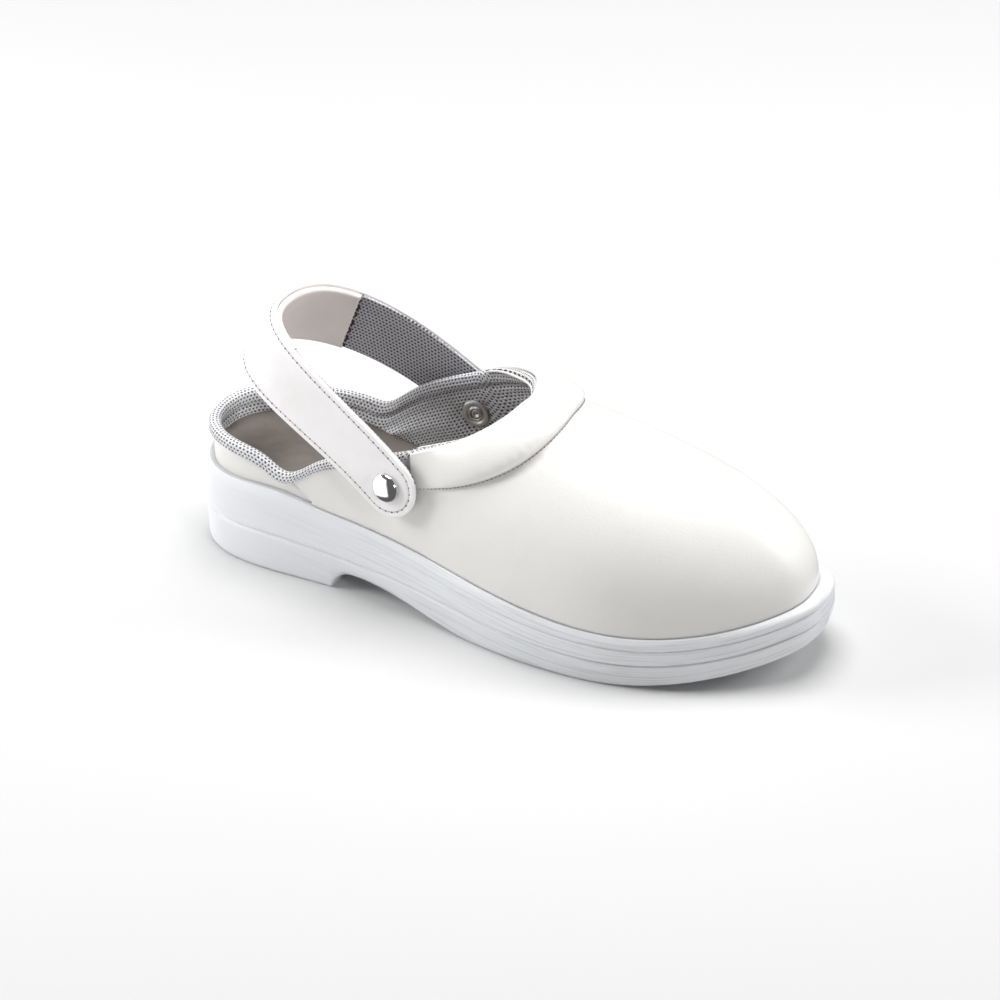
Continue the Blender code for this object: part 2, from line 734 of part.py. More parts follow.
def strap_band(name, start, end, inset, inner, outer, round_start, round_end, steps, made_of):
    """A band along the strap, from one length to another, between two offsets out from its middle.

    A rounded end is a half circle past the given length."""
    shares, lengths = strap_length_table()
    total = lengths[-1]
    arm, back = STRAP_ARM_WIDTH / 2 - inset, STRAP_BACK_WIDTH / 2 - inset
    along = np.linspace(start, end, steps)
    half = [arm + (back - arm) * math.sin(math.pi * min(max(s / total, 0), 1)) ** 2 for s in along]
    rows = list(zip(along, half))
    turns = [math.radians(a) for a in (88, 75, 60, 42, 22)]
    if round_start:
        rows = [(start - arm * math.sin(a), arm * math.cos(a)) for a in turns] + rows
    if round_end:
        rows = rows + [(end + arm * math.sin(a), arm * math.cos(a)) for a in reversed(turns)]
    across = (-1.0, 0.0, 1.0)
    points = []
    first, first_out = None, None
    for length, half_width in rows:
        inside = min(max(length, 0.0), total)
        share = float(np.interp(inside, lengths, shares))
        (point,), (width,), (out,) = strap_frames([share])
        beyond = length - inside
        if beyond:
            step = STRAP_THICKNESS
            other = float(np.interp(inside + (step if beyond < 0 else -step), lengths, shares))
            (near,), _, _ = strap_frames([other])
            point = point + (point - near).normalized() * abs(beyond)
        for offset in (inner, outer):
            order = across if offset == inner else across[::-1]
            points += [point + width * half_width * w + out * offset for w in order]
    count = 2 * len(across)
    faces = grid_faces(len(rows), count, closed_columns=True)
    faces.append(tuple(range(count)))
    faces.append(tuple((len(rows) - 1) * count + i for i in range(count)))
    return make_object(name, points, faces, made_of)


def build_strap():
    """The white strap, its grey linings on both arms and the pad at its back."""
    _, lengths = strap_length_table()
    total = float(lengths[-1])
    half = STRAP_THICKNESS / 2
    white = material("strap_white", (0.88, 0.86, 0.86), 0.45)
    strap = strap_band("strap", 0.0, total, 0.0, -half, half, True, True, STRAP_STEPS, white)
    cut(strap, build_bore_cutter("strap_bores"), "rivet_bores")
    grey = material("strap_mesh", (0.24, 0.23, 0.25), 0.95)
    beige = material("pad_beige", (0.52, 0.47, 0.45), 0.8)
    inside = -half - CLEARANCE
    pad_start, pad_end = total * PAD_SHARE, total * (1 - PAD_SHARE)
    lining = strap_band("strap_lining_lateral", 0.0, pad_start - CLEARANCE, LINING_INSET,
                        inside - LINING_THICKNESS, inside, True, False, LINING_STEPS, grey)
    cut(lining, build_bore_cutter("lateral_lining_bore"), "rivet_bore")
    lining = strap_band("strap_lining_medial", pad_end + CLEARANCE, total, LINING_INSET,
                        inside - LINING_THICKNESS, inside, False, True, LINING_STEPS, grey)
    cut(lining, build_bore_cutter("medial_lining_bore"), "rivet_bore")
    strap_band("strap_pad", pad_start, pad_end, LINING_INSET,
               inside - PAD_THICKNESS, inside, False, False, PAD_STEPS, beige)


def build_rivets():
    chrome = material("rivet_chrome", (0.72, 0.71, 0.70), 0.22, 1.0)
    for side, name in ((-1, "lateral"), (1, "medial")):
        seat, axis = rivet_seat(side)
        face = strap_face() + CLEARANCE
        end = -UPPER_WALL - CLEARANCE - BACK_THICKNESS
        dome = []
        for step in range(6):
            angle = math.radians(90 * step / 5)
            height = face + CAP_RIM + (CAP_HEIGHT - CAP_RIM) * math.sin(angle)
            dome.append((CAP_RADIUS * math.cos(angle) if step < 5 else 0, height))
        profile = [(0, end), (POST_RADIUS, end), (POST_RADIUS, face), (CAP_RADIUS * 0.96, face)] + dome
        turned(f"rivet_cap_{name}", profile, seat, axis, chrome)
        bore = POST_RADIUS + CLEARANCE
        top = -UPPER_WALL - CLEARANCE
        ring = [
            (bore, top),
            (BACK_RADIUS, top),
            (BACK_RADIUS * 0.96, top - BACK_THICKNESS * 0.6),
            (BACK_RADIUS * 0.72, top - BACK_THICKNESS),
            (bore + BACK_HUB, top - BACK_THICKNESS * 0.9),
            (bore, top - BACK_THICKNESS * 0.8),
        ]
        turned(f"rivet_back_{name}", ring, seat, axis, chrome)


for old in list(bpy.data.objects):
    bpy.data.objects.remove(old)

shoe = bpy.data.objects.new("shoe", None)
shoe.location = (-ORIGIN_ALONG * LENGTH, 0.0, 0.0)
bpy.context.scene.collection.objects.link(shoe)

build_sole()
build_insole()
build_upper()
build_roll()
build_binding()
build_strap()
build_rivets()
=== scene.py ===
# Looks of the hospital clog: leather, mesh, sole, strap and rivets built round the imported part.
import functools
import math

import bmesh
import bpy
import numpy as np
from mathutils import Matrix, Vector


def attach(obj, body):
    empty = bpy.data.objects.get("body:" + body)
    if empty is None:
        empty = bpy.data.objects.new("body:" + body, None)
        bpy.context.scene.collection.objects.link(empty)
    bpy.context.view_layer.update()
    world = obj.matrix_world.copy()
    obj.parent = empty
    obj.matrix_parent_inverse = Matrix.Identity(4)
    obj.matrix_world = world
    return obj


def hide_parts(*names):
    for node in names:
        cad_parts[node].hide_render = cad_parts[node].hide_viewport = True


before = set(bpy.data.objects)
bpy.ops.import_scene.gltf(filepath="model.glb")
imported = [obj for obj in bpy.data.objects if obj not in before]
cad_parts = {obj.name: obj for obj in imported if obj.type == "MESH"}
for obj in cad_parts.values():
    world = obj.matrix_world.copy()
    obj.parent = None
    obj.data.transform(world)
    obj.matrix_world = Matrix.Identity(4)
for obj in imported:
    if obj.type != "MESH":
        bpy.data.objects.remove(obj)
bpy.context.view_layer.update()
print("frame loaded")

fullTurn = 2 * math.pi

# Main sizes in metres, the same as the solid's.
form = {
    "length": 0.285,
    "ballWidth": 0.105,
    "heelHeight": 0.0385,
    "rimRise": 0.0138,
    "instepRise": 0.0565,
    "toeSpring": 0.013,
    "archRise": 0.0085,
    "originAlong": 0.174,
    "soleLip": 0.0024,
    "ledgeDrop": 0.0006,
    "clearance": 0.0003,
    "upperWall": 0.0022,
    "rivetAlong": 0.383,
    "rivetHeight": 0.0605,
}

# Plan of the sole: along in lengths, then both sides in ball widths.
outlineTable = (
    (0.00, 0.000, 0.000),
    (0.03, -0.215, 0.215),
    (0.12, -0.330, 0.332),
    (0.28, -0.334, 0.345),
    (0.42, -0.376, 0.372),
    (0.55, -0.448, 0.436),
    (0.66, -0.475, 0.500),
    (0.76, -0.450, 0.525),
    (0.86, -0.350, 0.500),
    (0.94, -0.195, 0.415),
    (0.98, -0.070, 0.310),
    (1.00, 0.095, 0.095),
)

# Line between upper and sole: along in lengths, height in heel heights.
featherTable = (
    (0.00, 0.995),
    (0.10, 1.000),
    (0.19, 1.005),
    (0.24, 0.940),
    (0.30, 0.890),
    (0.42, 0.810),
    (0.56, 0.700),
    (0.67, 0.618),
    (0.78, 0.592),
    (0.88, 0.657),
    (0.95, 0.765),
    (1.00, 0.883),
)

# Columns of the upper: along, side, lip, rise, lean, run, drop, collar along, collar across, collar lift.
columnTable = (
    (1.00, -1, 2.7, 0.56, 0.9, 0.50, 0.15, 0.541, 0.000, 0.985),
    (0.93, -1, 1.5, 0.56, 1.0, 0.48, 0.17, 0.539, -0.085, 0.975),
    (0.78, -1, 1.0, 0.52, 1.3, 0.46, 0.22, 0.528, -0.190, 0.915),
    (0.62, -1, 1.0, 0.48, 1.3, 0.42, 0.27, 0.490, -0.285, 0.770),
    (0.48, -1, 1.0, 0.42, 0.9, 0.36, 0.32, 0.437, -0.325, 0.605),
    (0.38, -1, 1.0, 0.36, 0.5, 0.34, 0.34, 0.380, -0.338, 0.450),
    (0.29, -1, 1.0, 0.34, 0.3, 0.34, 0.34, 0.294, -0.326, 0.235),
    (0.228, -1, 1.0, 0.34, 0.2, 0.34, 0.34, 0.237, -0.321, 0.055),
    (0.184, -1, 1.0, 0.34, 0.2, 0.34, 0.34, 0.190, -0.318, -0.130),
    (0.15, -1, 1.0, 0.34, 0.2, 0.34, 0.34, 0.156, -0.313, -0.050),
    (0.10, -1, 1.0, 0.34, 0.2, 0.34, 0.34, 0.105, -0.298, 0.025),
    (0.03, -1, 1.0, 0.34, 0.2, 0.34, 0.34, 0.036, -0.190, 0.020),
    (0.00, 1, 1.0, 0.34, 0.2, 0.34, 0.34, 0.011, 0.000, 0.015),
    (0.03, 1, 1.0, 0.34, 0.2, 0.34, 0.34, 0.036, 0.190, 0.010),
    (0.10, 1, 1.0, 0.34, 0.2, 0.34, 0.34, 0.105, 0.300, -0.010),
    (0.19, 1, 1.0, 0.34, 0.2, 0.34, 0.34, 0.197, 0.324, 0.012),
    (0.222, 1, 1.0, 0.34, 0.2, 0.34, 0.34, 0.228, 0.327, 0.020),
    (0.252, 1, 1.0, 0.34, 0.2, 0.34, 0.34, 0.258, 0.328, 0.165),
    (0.29, 1, 1.0, 0.34, 0.3, 0.34, 0.34, 0.292, 0.330, 0.330),
    (0.38, 1, 1.0, 0.36, 0.5, 0.34, 0.34, 0.372, 0.334, 0.590),
    (0.48, 1, 1.0, 0.42, 0.9, 0.36, 0.32, 0.422, 0.320, 0.745),
    (0.62, 1, 1.0, 0.48, 1.3, 0.42, 0.27, 0.473, 0.255, 0.880),
    (0.78, 1, 1.5, 0.52, 1.3, 0.46, 0.22, 0.510, 0.175, 0.965),
    (0.93, 1, 2.5, 0.56, 1.0, 0.48, 0.17, 0.530, 0.088, 0.995),
)


# A smooth periodic curve over one turn through the values at the knots.
def closedSpline(knots, values, at):
    knots, values = np.asarray(knots, float), np.asarray(values, float)
    count = len(knots)
    gap = np.diff(np.append(knots, knots[0] + fullTurn))
    matrix, right = np.zeros((count, count)), np.zeros(count)
    for i in range(count):
        before, after = i - 1, (i + 1) % count
        matrix[i, before] += gap[before]
        matrix[i, i] += 2 * (gap[before] + gap[i])
        matrix[i, after] += gap[i]
        right[i] = 6 * ((values[after] - values[i]) / gap[i] - (values[i] - values[before]) / gap[before])
    bend = np.linalg.solve(matrix, right)
    at = (np.asarray(at, float) - knots[0]) % fullTurn + knots[0]
    i = np.clip(np.searchsorted(knots, at, side="right") - 1, 0, count - 1)
    after, step = (i + 1) % count, gap[i]
    near, far = at - knots[i], step - (at - knots[i])
    curve = (bend[i] * far**3 + bend[after] * near**3) / (6 * step)
    curve = curve + (values[i] / step - bend[i] * step / 6) * far
    return curve + (values[after] / step - bend[after] * step / 6) * near


def turnOf(along, side):
    angle = math.acos(min(1.0, max(-1.0, 2 * along - 1)))
    return angle if side < 0 or along in (0.0, 1.0) else fullTurn - angle


def outlineAcross(turn):
    rows = [(turnOf(along, -1), lateral) for along, lateral, _ in outlineTable]
    rows += [(turnOf(along, 1), medial) for along, _, medial in outlineTable[1:-1]]
    rows.sort()
    return form["ballWidth"] * closedSpline(*zip(*rows), turn)


def outline(turn, inset=0.0):
    turn = np.asarray(turn, float)
    x, y = form["length"] * (1 + np.cos(turn)) / 2, outlineAcross(turn)
    step = 1e-3
    dx = form["length"] * (np.cos(turn + step) - np.cos(turn - step)) / 2
    dy = outlineAcross(turn + step) - outlineAcross(turn - step)
    size = np.hypot(dx, dy)
    out = np.stack([-dy / size, dx / size], -1)
    return np.stack([x, y], -1) - out * np.reshape(inset, (-1, 1)), out


def featherHeight(x):
    rows = [(turnOf(along, -1), height) for along, height in featherTable]
    rows += [(turnOf(along, 1), height) for along, height in featherTable[1:-1]]
    rows.sort()
    turn = np.arccos(np.clip(2 * np.asarray(x, float) / form["length"] - 1, -1, 1))
    return form["heelHeight"] * closedSpline(*zip(*rows), turn)


def columnValues(turn):
    rows = sorted((turnOf(row[0], row[1]), row[2:]) for row in columnTable)
    knots = [row[0] for row in rows]
    return [closedSpline(knots, values, turn) for values in zip(*(row[1] for row in rows))]


# Outer face of the upper: up is 0 at the sole and 1 at the collar.
def upperFace(turn, up):
    turn, up = np.broadcast_arrays(np.asarray(turn, float), np.asarray(up, float))
    lip, rise, lean, run, drop, along, across, lift = columnValues(turn)
    plan, out = outline(turn, form["soleLip"] * lip)
    foot = np.column_stack([plan, featherHeight(plan[:, 0]) - form["ledgeDrop"] + form["clearance"]])
    height = form["heelHeight"] + form["rimRise"] + (form["instepRise"] - form["rimRise"]) * lift
    collar = np.stack([form["length"] * along, form["ballWidth"] * across, height], -1)
    tall = (collar - foot)[:, 2:]
    upward = np.array([[0.0, 0.0, 1.0]])
    low = foot + upward * tall * rise[:, None]
    low[:, :2] += out * (form["upperWall"] * lean)[:, None]
    high = collar - upward * tall * drop[:, None]
    high[:, :2] += (foot - collar)[:, :2] * run[:, None]
    t = up[:, None]
    return (1 - t) ** 3 * foot + 3 * (1 - t) ** 2 * t * low + 3 * (1 - t) * t**2 * high + t**3 * collar


def upperNormal(turn, up):
    step = 1e-4
    turn, up = np.broadcast_arrays(np.asarray(turn, float), np.asarray(up, float))
    roundIt = upperFace(turn + step, up) - upperFace(turn - step, up)
    upIt = upperFace(turn, up + step) - upperFace(turn, up - step)
    normal = np.cross(upIt, roundIt)
    return normal / np.linalg.norm(normal, axis=1)[:, None]


def upperOffset(turn, up, out):
    return upperFace(turn, up) + upperNormal(turn, up) * np.reshape(out, (-1, 1))


def columnLength(turn):
    path = np.array([upperFace(turn, np.full(len(turn), s)) for s in np.linspace(0, 1, 24)])
    return np.linalg.norm(np.diff(path, axis=0), axis=2).sum(axis=0)


# A point near the collar: down the wall from its edge and out from its face, in metres.
def onCollar(turn, down, out):
    turn, down, out = np.broadcast_arrays(np.asarray(turn, float), down, out)
    top = upperFace(turn, 1.0)
    above = top - upperFace(turn, 0.98)
    above /= np.linalg.norm(above, axis=1)[:, None]
    under = np.maximum(down, 1e-5)
    share = 1 - under / columnLength(turn)
    for _ in range(4):
        reached = np.linalg.norm(top - upperFace(turn, share), axis=1)
        share = 1 - (1 - share) * under / reached
    share = np.where(down > 0, share, 1.0)
    return upperOffset(turn, share, out) + above * np.where(down > 0, 0.0, -down)[:, None]


def smooth(value, low, high):
    t = np.clip((np.asarray(value, float) - low) / (high - low), 0, 1)
    return t * t * (3 - 2 * t)


def bell(value, middle, width):
    return np.exp(-(((value - middle) / width) ** 2))


# Angles spread evenly by distance along a closed or open stretch of the collar.
def evenTurns(start, end, count, closed=False):
    fine = np.linspace(start, end, 1200)
    line = upperFace(fine, 1.0)
    run = np.append(0, np.cumsum(np.linalg.norm(np.diff(line, axis=0), axis=1)))
    wanted = np.linspace(0, run[-1], count + 1)[:-1] if closed else np.linspace(0, run[-1], count)
    return np.interp(wanted, run, fine)


# A mesh from a grid of points, with a texture map in metres along and across the grid.
def gridMesh(
    name, points, madeOf, closedColumns=False, closedRows=False, uv=None, flip=False, solid=False, weld=0.0
):
    rows, columns = points.shape[:2]
    r = np.arange(rows if closedRows else rows - 1)
    c = np.arange(columns if closedColumns else columns - 1)
    r, c = (a.reshape(-1) for a in np.meshgrid(r, c, indexing="ij"))
    rn, cn = (r + 1) % rows, (c + 1) % columns
    quads = np.stack([r * columns + c, r * columns + cn, rn * columns + cn, rn * columns + c], -1)
    if flip:
        quads = quads[:, ::-1]
    flat = points.reshape(-1, 3) - np.array([form["originAlong"] * form["length"], 0, 0])
    mesh = bpy.data.meshes.new(name)
    mesh.from_pydata(flat.tolist(), [], quads.tolist())
    if uv is not None:
        corners = [uv[r, c], uv[r, c + 1], uv[r + 1, c + 1], uv[r + 1, c]]
        if flip:
            corners = corners[::-1]
        layer = mesh.uv_layers.new(name="cloth")
        layer.data.foreach_set("uv", np.stack(corners, 1).reshape(-1))
    return finishMesh(name, mesh, madeOf, solid, weld)


# Welds the mesh, turns a closed one outwards and gives it its material and object.
def finishMesh(name, mesh, madeOf, solid, weld):
    work = bmesh.new()
    work.from_mesh(mesh)
    if weld:
        bmesh.ops.remove_doubles(work, verts=work.verts, dist=weld)
    if solid:
        bmesh.ops.recalc_face_normals(work, faces=work.faces)
        if work.calc_volume(signed=True) < 0:
            bmesh.ops.reverse_faces(work, faces=work.faces)
    work.to_mesh(mesh)
    work.free()
    mesh.shade_smooth()
    mesh.materials.append(madeOf)
    piece = bpy.data.objects.new(name, mesh)
    bpy.context.scene.collection.objects.link(piece)
    return piece


# Texture map of a grid of closed rings: metres along one of its rings and down its columns.
def clothMap(points):
    middle = points[len(points) // 3]
    around = np.diff(np.concatenate([middle, middle[:1]]), axis=0)
    u = np.append(0, np.cumsum(np.linalg.norm(around, axis=1)))
    steps = np.linalg.norm(np.diff(points, axis=0), axis=2)
    v = np.concatenate([np.zeros((1, points.shape[1])), np.cumsum(steps, axis=0)])
    v = np.concatenate([v, v[:, :1]], 1)
    return np.stack([np.broadcast_to(u[None], v.shape), v], -1)


def handIn(piece, slotName, *nodes):
    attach(piece, "root")
    if nodes:
        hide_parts(*nodes)
    return piece


# An output of a node. Arithmetic on it adds Math nodes to its tree.
class Wire:
    def __init__(self, tree, socket):
        self.tree = tree
        self.socket = socket

    def math(self, operation, *others):
        return addNode(self.tree, "ShaderNodeMath", dict(enumerate((self, *others))), operation=operation)

    def __add__(self, other):
        return self.math("ADD", other)

    def __sub__(self, other):
        return self.math("SUBTRACT", other)

    def __rsub__(self, other):
        return addNode(self.tree, "ShaderNodeMath", {0: other, 1: self}, operation="SUBTRACT")

    def __mul__(self, other):
        return self.math("MULTIPLY", other)

    def __truediv__(self, other):
        return self.math("DIVIDE", other)

    def __rtruediv__(self, other):
        return addNode(self.tree, "ShaderNodeMath", {0: other, 1: self}, operation="DIVIDE")

    __radd__ = __add__
    __rmul__ = __mul__

    # 0 below the low end, 1 above the high end and smooth between them.
    def ramp(self, low, high):
        values = dict(enumerate((self, low, high, 0.0, 1.0)))
        return addNode(self.tree, "ShaderNodeMapRange", values, interpolation_type="SMOOTHSTEP")


def connect(tree, slot, value):
    if isinstance(value, Wire):
        tree.links.new(value.socket, slot)
    else:
        slot.default_value = value


# Any node: its type, its sockets' values or links by name, identifier or place, and its settings.
def addNode(tree, kind, inputs=None, output=0, **settings):
    made = tree.nodes.new(kind)
    for key, value in settings.items():
        setattr(made, key, value)
    for key, value in (inputs or {}).items():
        if isinstance(key, int):
            slot = made.inputs[key]
        else:
            slot = next(s for s in made.inputs if key in (s.identifier, s.name) and s.enabled)
        connect(tree, slot, value)
    return Wire(tree, made.outputs[output])


def mixColour(tree, factor, first, second):
    values = {"Factor_Float": factor}
    for slot, value in (("A_Color", first), ("B_Color", second)):
        values[slot] = value if isinstance(value, Wire) else (*value, 1.0)
    return addNode(tree, "ShaderNodeMix", values, output=2, data_type="RGBA")


def newMaterial(name):
    made = bpy.data.materials.new(name)
    made.use_nodes = True
    tree = made.node_tree
    return made, tree, tree.nodes["Principled BSDF"]


def objectPlace(tree):
    return addNode(tree, "ShaderNodeTexCoord", output=3)


def noiseAt(tree, place, scale, detail=2.0, roughness=0.5):
    values = {"Vector": place, "Scale": scale, "Detail": detail, "Roughness": roughness}
    return addNode(tree, "ShaderNodeTexNoise", values)


def bumpInto(tree, shader, height, depth):
    bump = addNode(tree, "ShaderNodeBump", {"Strength": 1.0, "Distance": depth, "Height": height})
    connect(tree, shader.inputs["Normal"], bump)


leatherLook = {
    "white": (0.83, 0.815, 0.79),
    "darkerTone": (0.76, 0.745, 0.72),
    "darkerShare": 0.35,
    # The strap's white leather is painted lighter than the upper's, as painted light.
    "strapLitWhite": (0.93, 0.91, 0.915),
    "roughness": 0.42,
    "roughnessSpread": 0.16,
    "grainScale": 1100.0,
    "grainDepth": 0.00006,
    "undulation": 0.096,
    "coat": 0.10,
    "coatRoughness": 0.3,
}


def leatherMaterial(name, colour, softer=1.0):
    made, tree, shader = newMaterial(name)
    place = objectPlace(tree)
    cells = addNode(tree, "ShaderNodeTexVoronoi", {"Vector": place, "Scale": leatherLook["grainScale"]})
    fine = noiseAt(tree, place, leatherLook["grainScale"] * 0.8, 3.0)
    broad = noiseAt(tree, place, 26.0)
    shade = noiseAt(tree, place, 38.0, 3.0).ramp(0.42, 0.72)
    tone = mixColour(tree, shade * leatherLook["darkerShare"], colour, leatherLook["darkerTone"])
    connect(tree, shader.inputs["Base Color"], tone)
    spread = leatherLook["roughnessSpread"]
    rough = noiseAt(tree, place, 90.0, 3.0) * spread + (leatherLook["roughness"] - spread / 2)
    connect(tree, shader.inputs["Roughness"], rough)
    shader.inputs["Coat Weight"].default_value = leatherLook["coat"]
    shader.inputs["Coat Roughness"].default_value = leatherLook["coatRoughness"]
    shader.inputs["Specular IOR Level"].default_value = 0.45
    grain = cells * 0.7 + fine * 0.5 + broad * (leatherLook["undulation"] * softer)
    bumpInto(tree, shader, grain, leatherLook["grainDepth"])
    return made


# Heights are shares of the side's height, and places along are shares of the length.
soleLook = {
    "colour": (0.83, 0.845, 0.87),
    "cloudShade": 0.96,
    # Grey of the streaks, which are the sole's own; as it grows towards the toe it is also painted shade.
    "darkerTone": (0.58, 0.59, 0.585),
    "darkerShare": 0.55,
    "roughness": 0.5,
    "roughnessSpread": 0.12,
    "grainScale": 1500.0,
    "grainDepth": 0.00013,
    "streaks": (26.0, 900.0, 1.0),
    "streakAndShadeStart": (-0.02, 0.12),
    "streakAndShadeBehind": 0.12,
    "shoulderIn": 0.62,
    "shoulderStart": 0.80,
    "footIn": 0.30,
    "footEnd": 0.45,
    "midGroove": 0.45,
    "grooveDepth": 0.0011,
    "grooveWidth": 0.016,
    "secondGroove": 0.765,
    "secondDepth": 0.0007,
    "secondStart": 0.30,
    "secondFade": 0.12,
    "toeStart": 0.72,
    "archBreast": 0.268,
    "archTop": 0.305,
    "archEnd": 0.53,
    "archSplit": 0.35,
    "bottomRound": 0.0014,
    "channelPlaces": (0.085, 0.135, 0.185) + tuple(0.575 + 0.052 * i for i in range(7)),
    "channelDepth": 0.0025,
    "channelWidth": 0.0036,
    "channelMargin": 0.011,
    "channelBow": 0.004,
    "partingDepth": 0.00035,
    "stations": 150,
    "finerStations": ((0.262, 0.312, 0.0014), (0.07, 0.21, 0.0026), (0.56, 0.93, 0.0026)),
    "across": 30,
}


def soleMaterial():
    made, tree, shader = newMaterial("solePu")
    place = objectPlace(tree)
    fine = noiseAt(tree, place, soleLook["grainScale"], 3.0)
    cloud = noiseAt(tree, place, 30.0, 3.0).ramp(0.35, 0.75)
    along = addNode(tree, "ShaderNodeUVMap", uv_map="cloth")
    drawn = addNode(tree, "ShaderNodeVectorMath", {0: along, 1: soleLook["streaks"]}, operation="MULTIPLY")
    streak = noiseAt(tree, drawn, 1.0)
    behind = soleLook["streakAndShadeBehind"]
    # Streaks grow stronger and greyer towards the toe: the streaks are real, and the darkening of the front
    # is painted shade.
    front = addNode(tree, "ShaderNodeSeparateXYZ", {0: place}).ramp(*soleLook["streakAndShadeStart"])
    front = front * (1 - behind) + behind
    dimmer = tuple(v * soleLook["cloudShade"] for v in soleLook["colour"])
    tone = mixColour(tree, cloud * 0.3, soleLook["colour"], dimmer)
    tone = mixColour(tree, streak.ramp(0.46, 0.70) * front * soleLook["darkerShare"], tone, soleLook["darkerTone"])
    connect(tree, shader.inputs["Base Color"], tone)
    spread = soleLook["roughnessSpread"]
    connect(tree, shader.inputs["Roughness"], fine * spread + (soleLook["roughness"] - spread / 2))
    shader.inputs["Specular IOR Level"].default_value = 0.4
    bumpInto(tree, shader, fine * 0.3 + streak * front, soleLook["grainDepth"])
    return made


def toeLift(x):
    start = soleLook["toeStart"] * form["length"]
    return form["toeSpring"] * np.clip((x - start) / (form["length"] - start), 0, 1) ** 2


# Height of the arch's hollow over the tread: a rounded breast behind, a long slope in front.
def archHeight(x):
    breast, top, end = (soleLook[name] * form["length"] for name in ("archBreast", "archTop", "archEnd"))
    up = np.clip((x - breast) / (top - breast), 0, 1)
    rise = np.sqrt(1 - (1 - up) ** 2)
    return form["archRise"] * rise * (1 - smooth(x, top, end)) * (x > breast)


def underside(x):
    return toeLift(x) + archHeight(x)


def channelDepth(x, y):
    turn = np.arccos(np.clip(2 * x / form["length"] - 1, -1, 1))
    low = outlineAcross(turn) + soleLook["channelMargin"]
    high = outlineAcross(fullTurn - turn) - soleLook["channelMargin"]
    share = (y - low) / (high - low)
    inside = smooth(share, 0.0, 0.02) * (1 - smooth(share, 0.98, 1.0))
    depth = np.zeros_like(x)
    for place in soleLook["channelPlaces"]:
        middle = place * form["length"] + soleLook["channelBow"] * (1 - (2 * share - 1) ** 2)
        gap = soleLook["channelWidth"] / 2 - np.abs(x - middle)
        depth = np.maximum(depth, smooth(gap, -0.0003, 0.0004))
    return depth * inside * soleLook["channelDepth"]


# How far the side lies in from its widest line: in lips for shoulder and foot, in metres for grooves.
def sideInset(height, x):
    above = np.clip((height - soleLook["shoulderStart"]) / (1 - soleLook["shoulderStart"]), 0, 1)
    foot = soleLook["footIn"] * (1 - smooth(height, 0.0, soleLook["footEnd"]))
    onset = soleLook["secondStart"]
    front = smooth(x / form["length"], onset, onset + soleLook["secondFade"])
    groove = soleLook["grooveDepth"] * bell(height, soleLook["midGroove"], soleLook["grooveWidth"])
    second = front * bell(height, soleLook["secondGroove"], soleLook["grooveWidth"] * 0.8)
    toe = soleLook["partingDepth"] * bell(x, form["length"], 0.00003)
    return soleLook["shoulderIn"] * above**3 + foot, groove + soleLook["secondDepth"] * second + toe


# A sheet of points from the near half of a closed ring to its far half.
def sheetAcross(ring, half, count):
    near = ring[:half]
    far = np.concatenate([ring[:1], ring[half:][::-1], ring[half - 1:half]])
    share = np.linspace(0, 1, count)[None, :, None]
    return near[:, None] * (1 - share) + far[:, None] * share


def buildSole(madeOf):
    length = form["length"]
    xs = [length * (1 - np.cos(np.linspace(0, math.pi, soleLook["stations"]))) / 2]
    xs += [np.arange(*stretch) * length for stretch in soleLook["finerStations"]]
    xs = np.sort(np.concatenate(xs))
    xs = xs[np.append(True, np.diff(xs) > 1.5e-4)]
    xs[-1] = length
    half = np.arccos(np.clip(2 * xs[::-1] / length - 1, -1, 1))
    turn = np.concatenate([half, fullTurn - half[-2:0:-1]])
    lip = form["soleLip"] * columnValues(turn)[0]
    # Heights of the side's rings, close together round both grooves.
    levels = [1.0, 0.985, 0.965, 0.94, 0.91, 0.88, 0.85, 0.82]
    finer = np.array([40, 28, 20, 14, 9, 5, 0, -5, -9, -14, -20, -28, -40])
    levels += list(soleLook["secondGroove"] + 0.001 * finer)
    levels += [0.68, 0.62, 0.56, 0.52]
    finer = np.array([50, 38, 28, 20, 14, 9, 5, 0, -5, -9, -14, -20, -28, -38, -50])
    levels += list(soleLook["midGroove"] + 0.001 * finer)
    levels += [0.35, 0.30, 0.25, 0.20, 0.15, 0.10]
    rings = []
    for inset in (lip + 0.001, lip):
        ledge, _ = outline(turn, inset)
        rings.append(np.column_stack([ledge, featherHeight(ledge[:, 0]) - form["ledgeDrop"]]))
    split = soleLook["archSplit"]
    widest = outline(turn)[0][:, 0]
    under = underside(widest)
    for level in levels:
        lips, groove = sideInset(level, widest)
        plan, _ = outline(turn, lip * lips + groove)
        top, base = featherHeight(plan[:, 0]), toeLift(plan[:, 0])
        joint = base + (top - base) * split
        below = under + (joint - under) * level / split
        z = np.where(level < split, below, base + (top - base) * level)
        rings.append(np.column_stack([plan, z]))
    radius = soleLook["bottomRound"]
    for angle in np.radians([0, 22, 45, 68, 90]):
        plan, _ = outline(turn, soleLook["footIn"] * lip + radius * (1 - math.cos(angle)))
        rings.append(np.column_stack([plan, under + radius * (1 - math.sin(angle))]))
    points = np.stack(rings)
    sole = gridMesh("soleSide", points, madeOf, closedColumns=True, uv=clothMap(points))
    bottom = sheetAcross(points[-1], len(half), soleLook["across"])
    bottom[:, :, 2] += channelDepth(bottom[:, :, 0], bottom[:, :, 1])
    tread = gridMesh("soleTread", bottom, madeOf)
    ledge = gridMesh("soleLedge", sheetAcross(points[0], len(half), 5), madeOf)
    joined = bmesh.new()
    for piece in (sole, tread, ledge):
        joined.from_mesh(piece.data)
    bmesh.ops.remove_doubles(joined, verts=joined.verts, dist=2e-6)
    bmesh.ops.recalc_face_normals(joined, faces=joined.faces)
    if joined.calc_volume(signed=True) < 0:
        bmesh.ops.reverse_faces(joined, faces=joined.faces)
    joined.to_mesh(sole.data)
    joined.free()
    sole.data.shade_smooth()
    for piece in (tread, ledge):
        bpy.data.objects.remove(piece)
    return handIn(sole, "sole_pu", "sole")


buildSole(soleMaterial())
print("sole built")


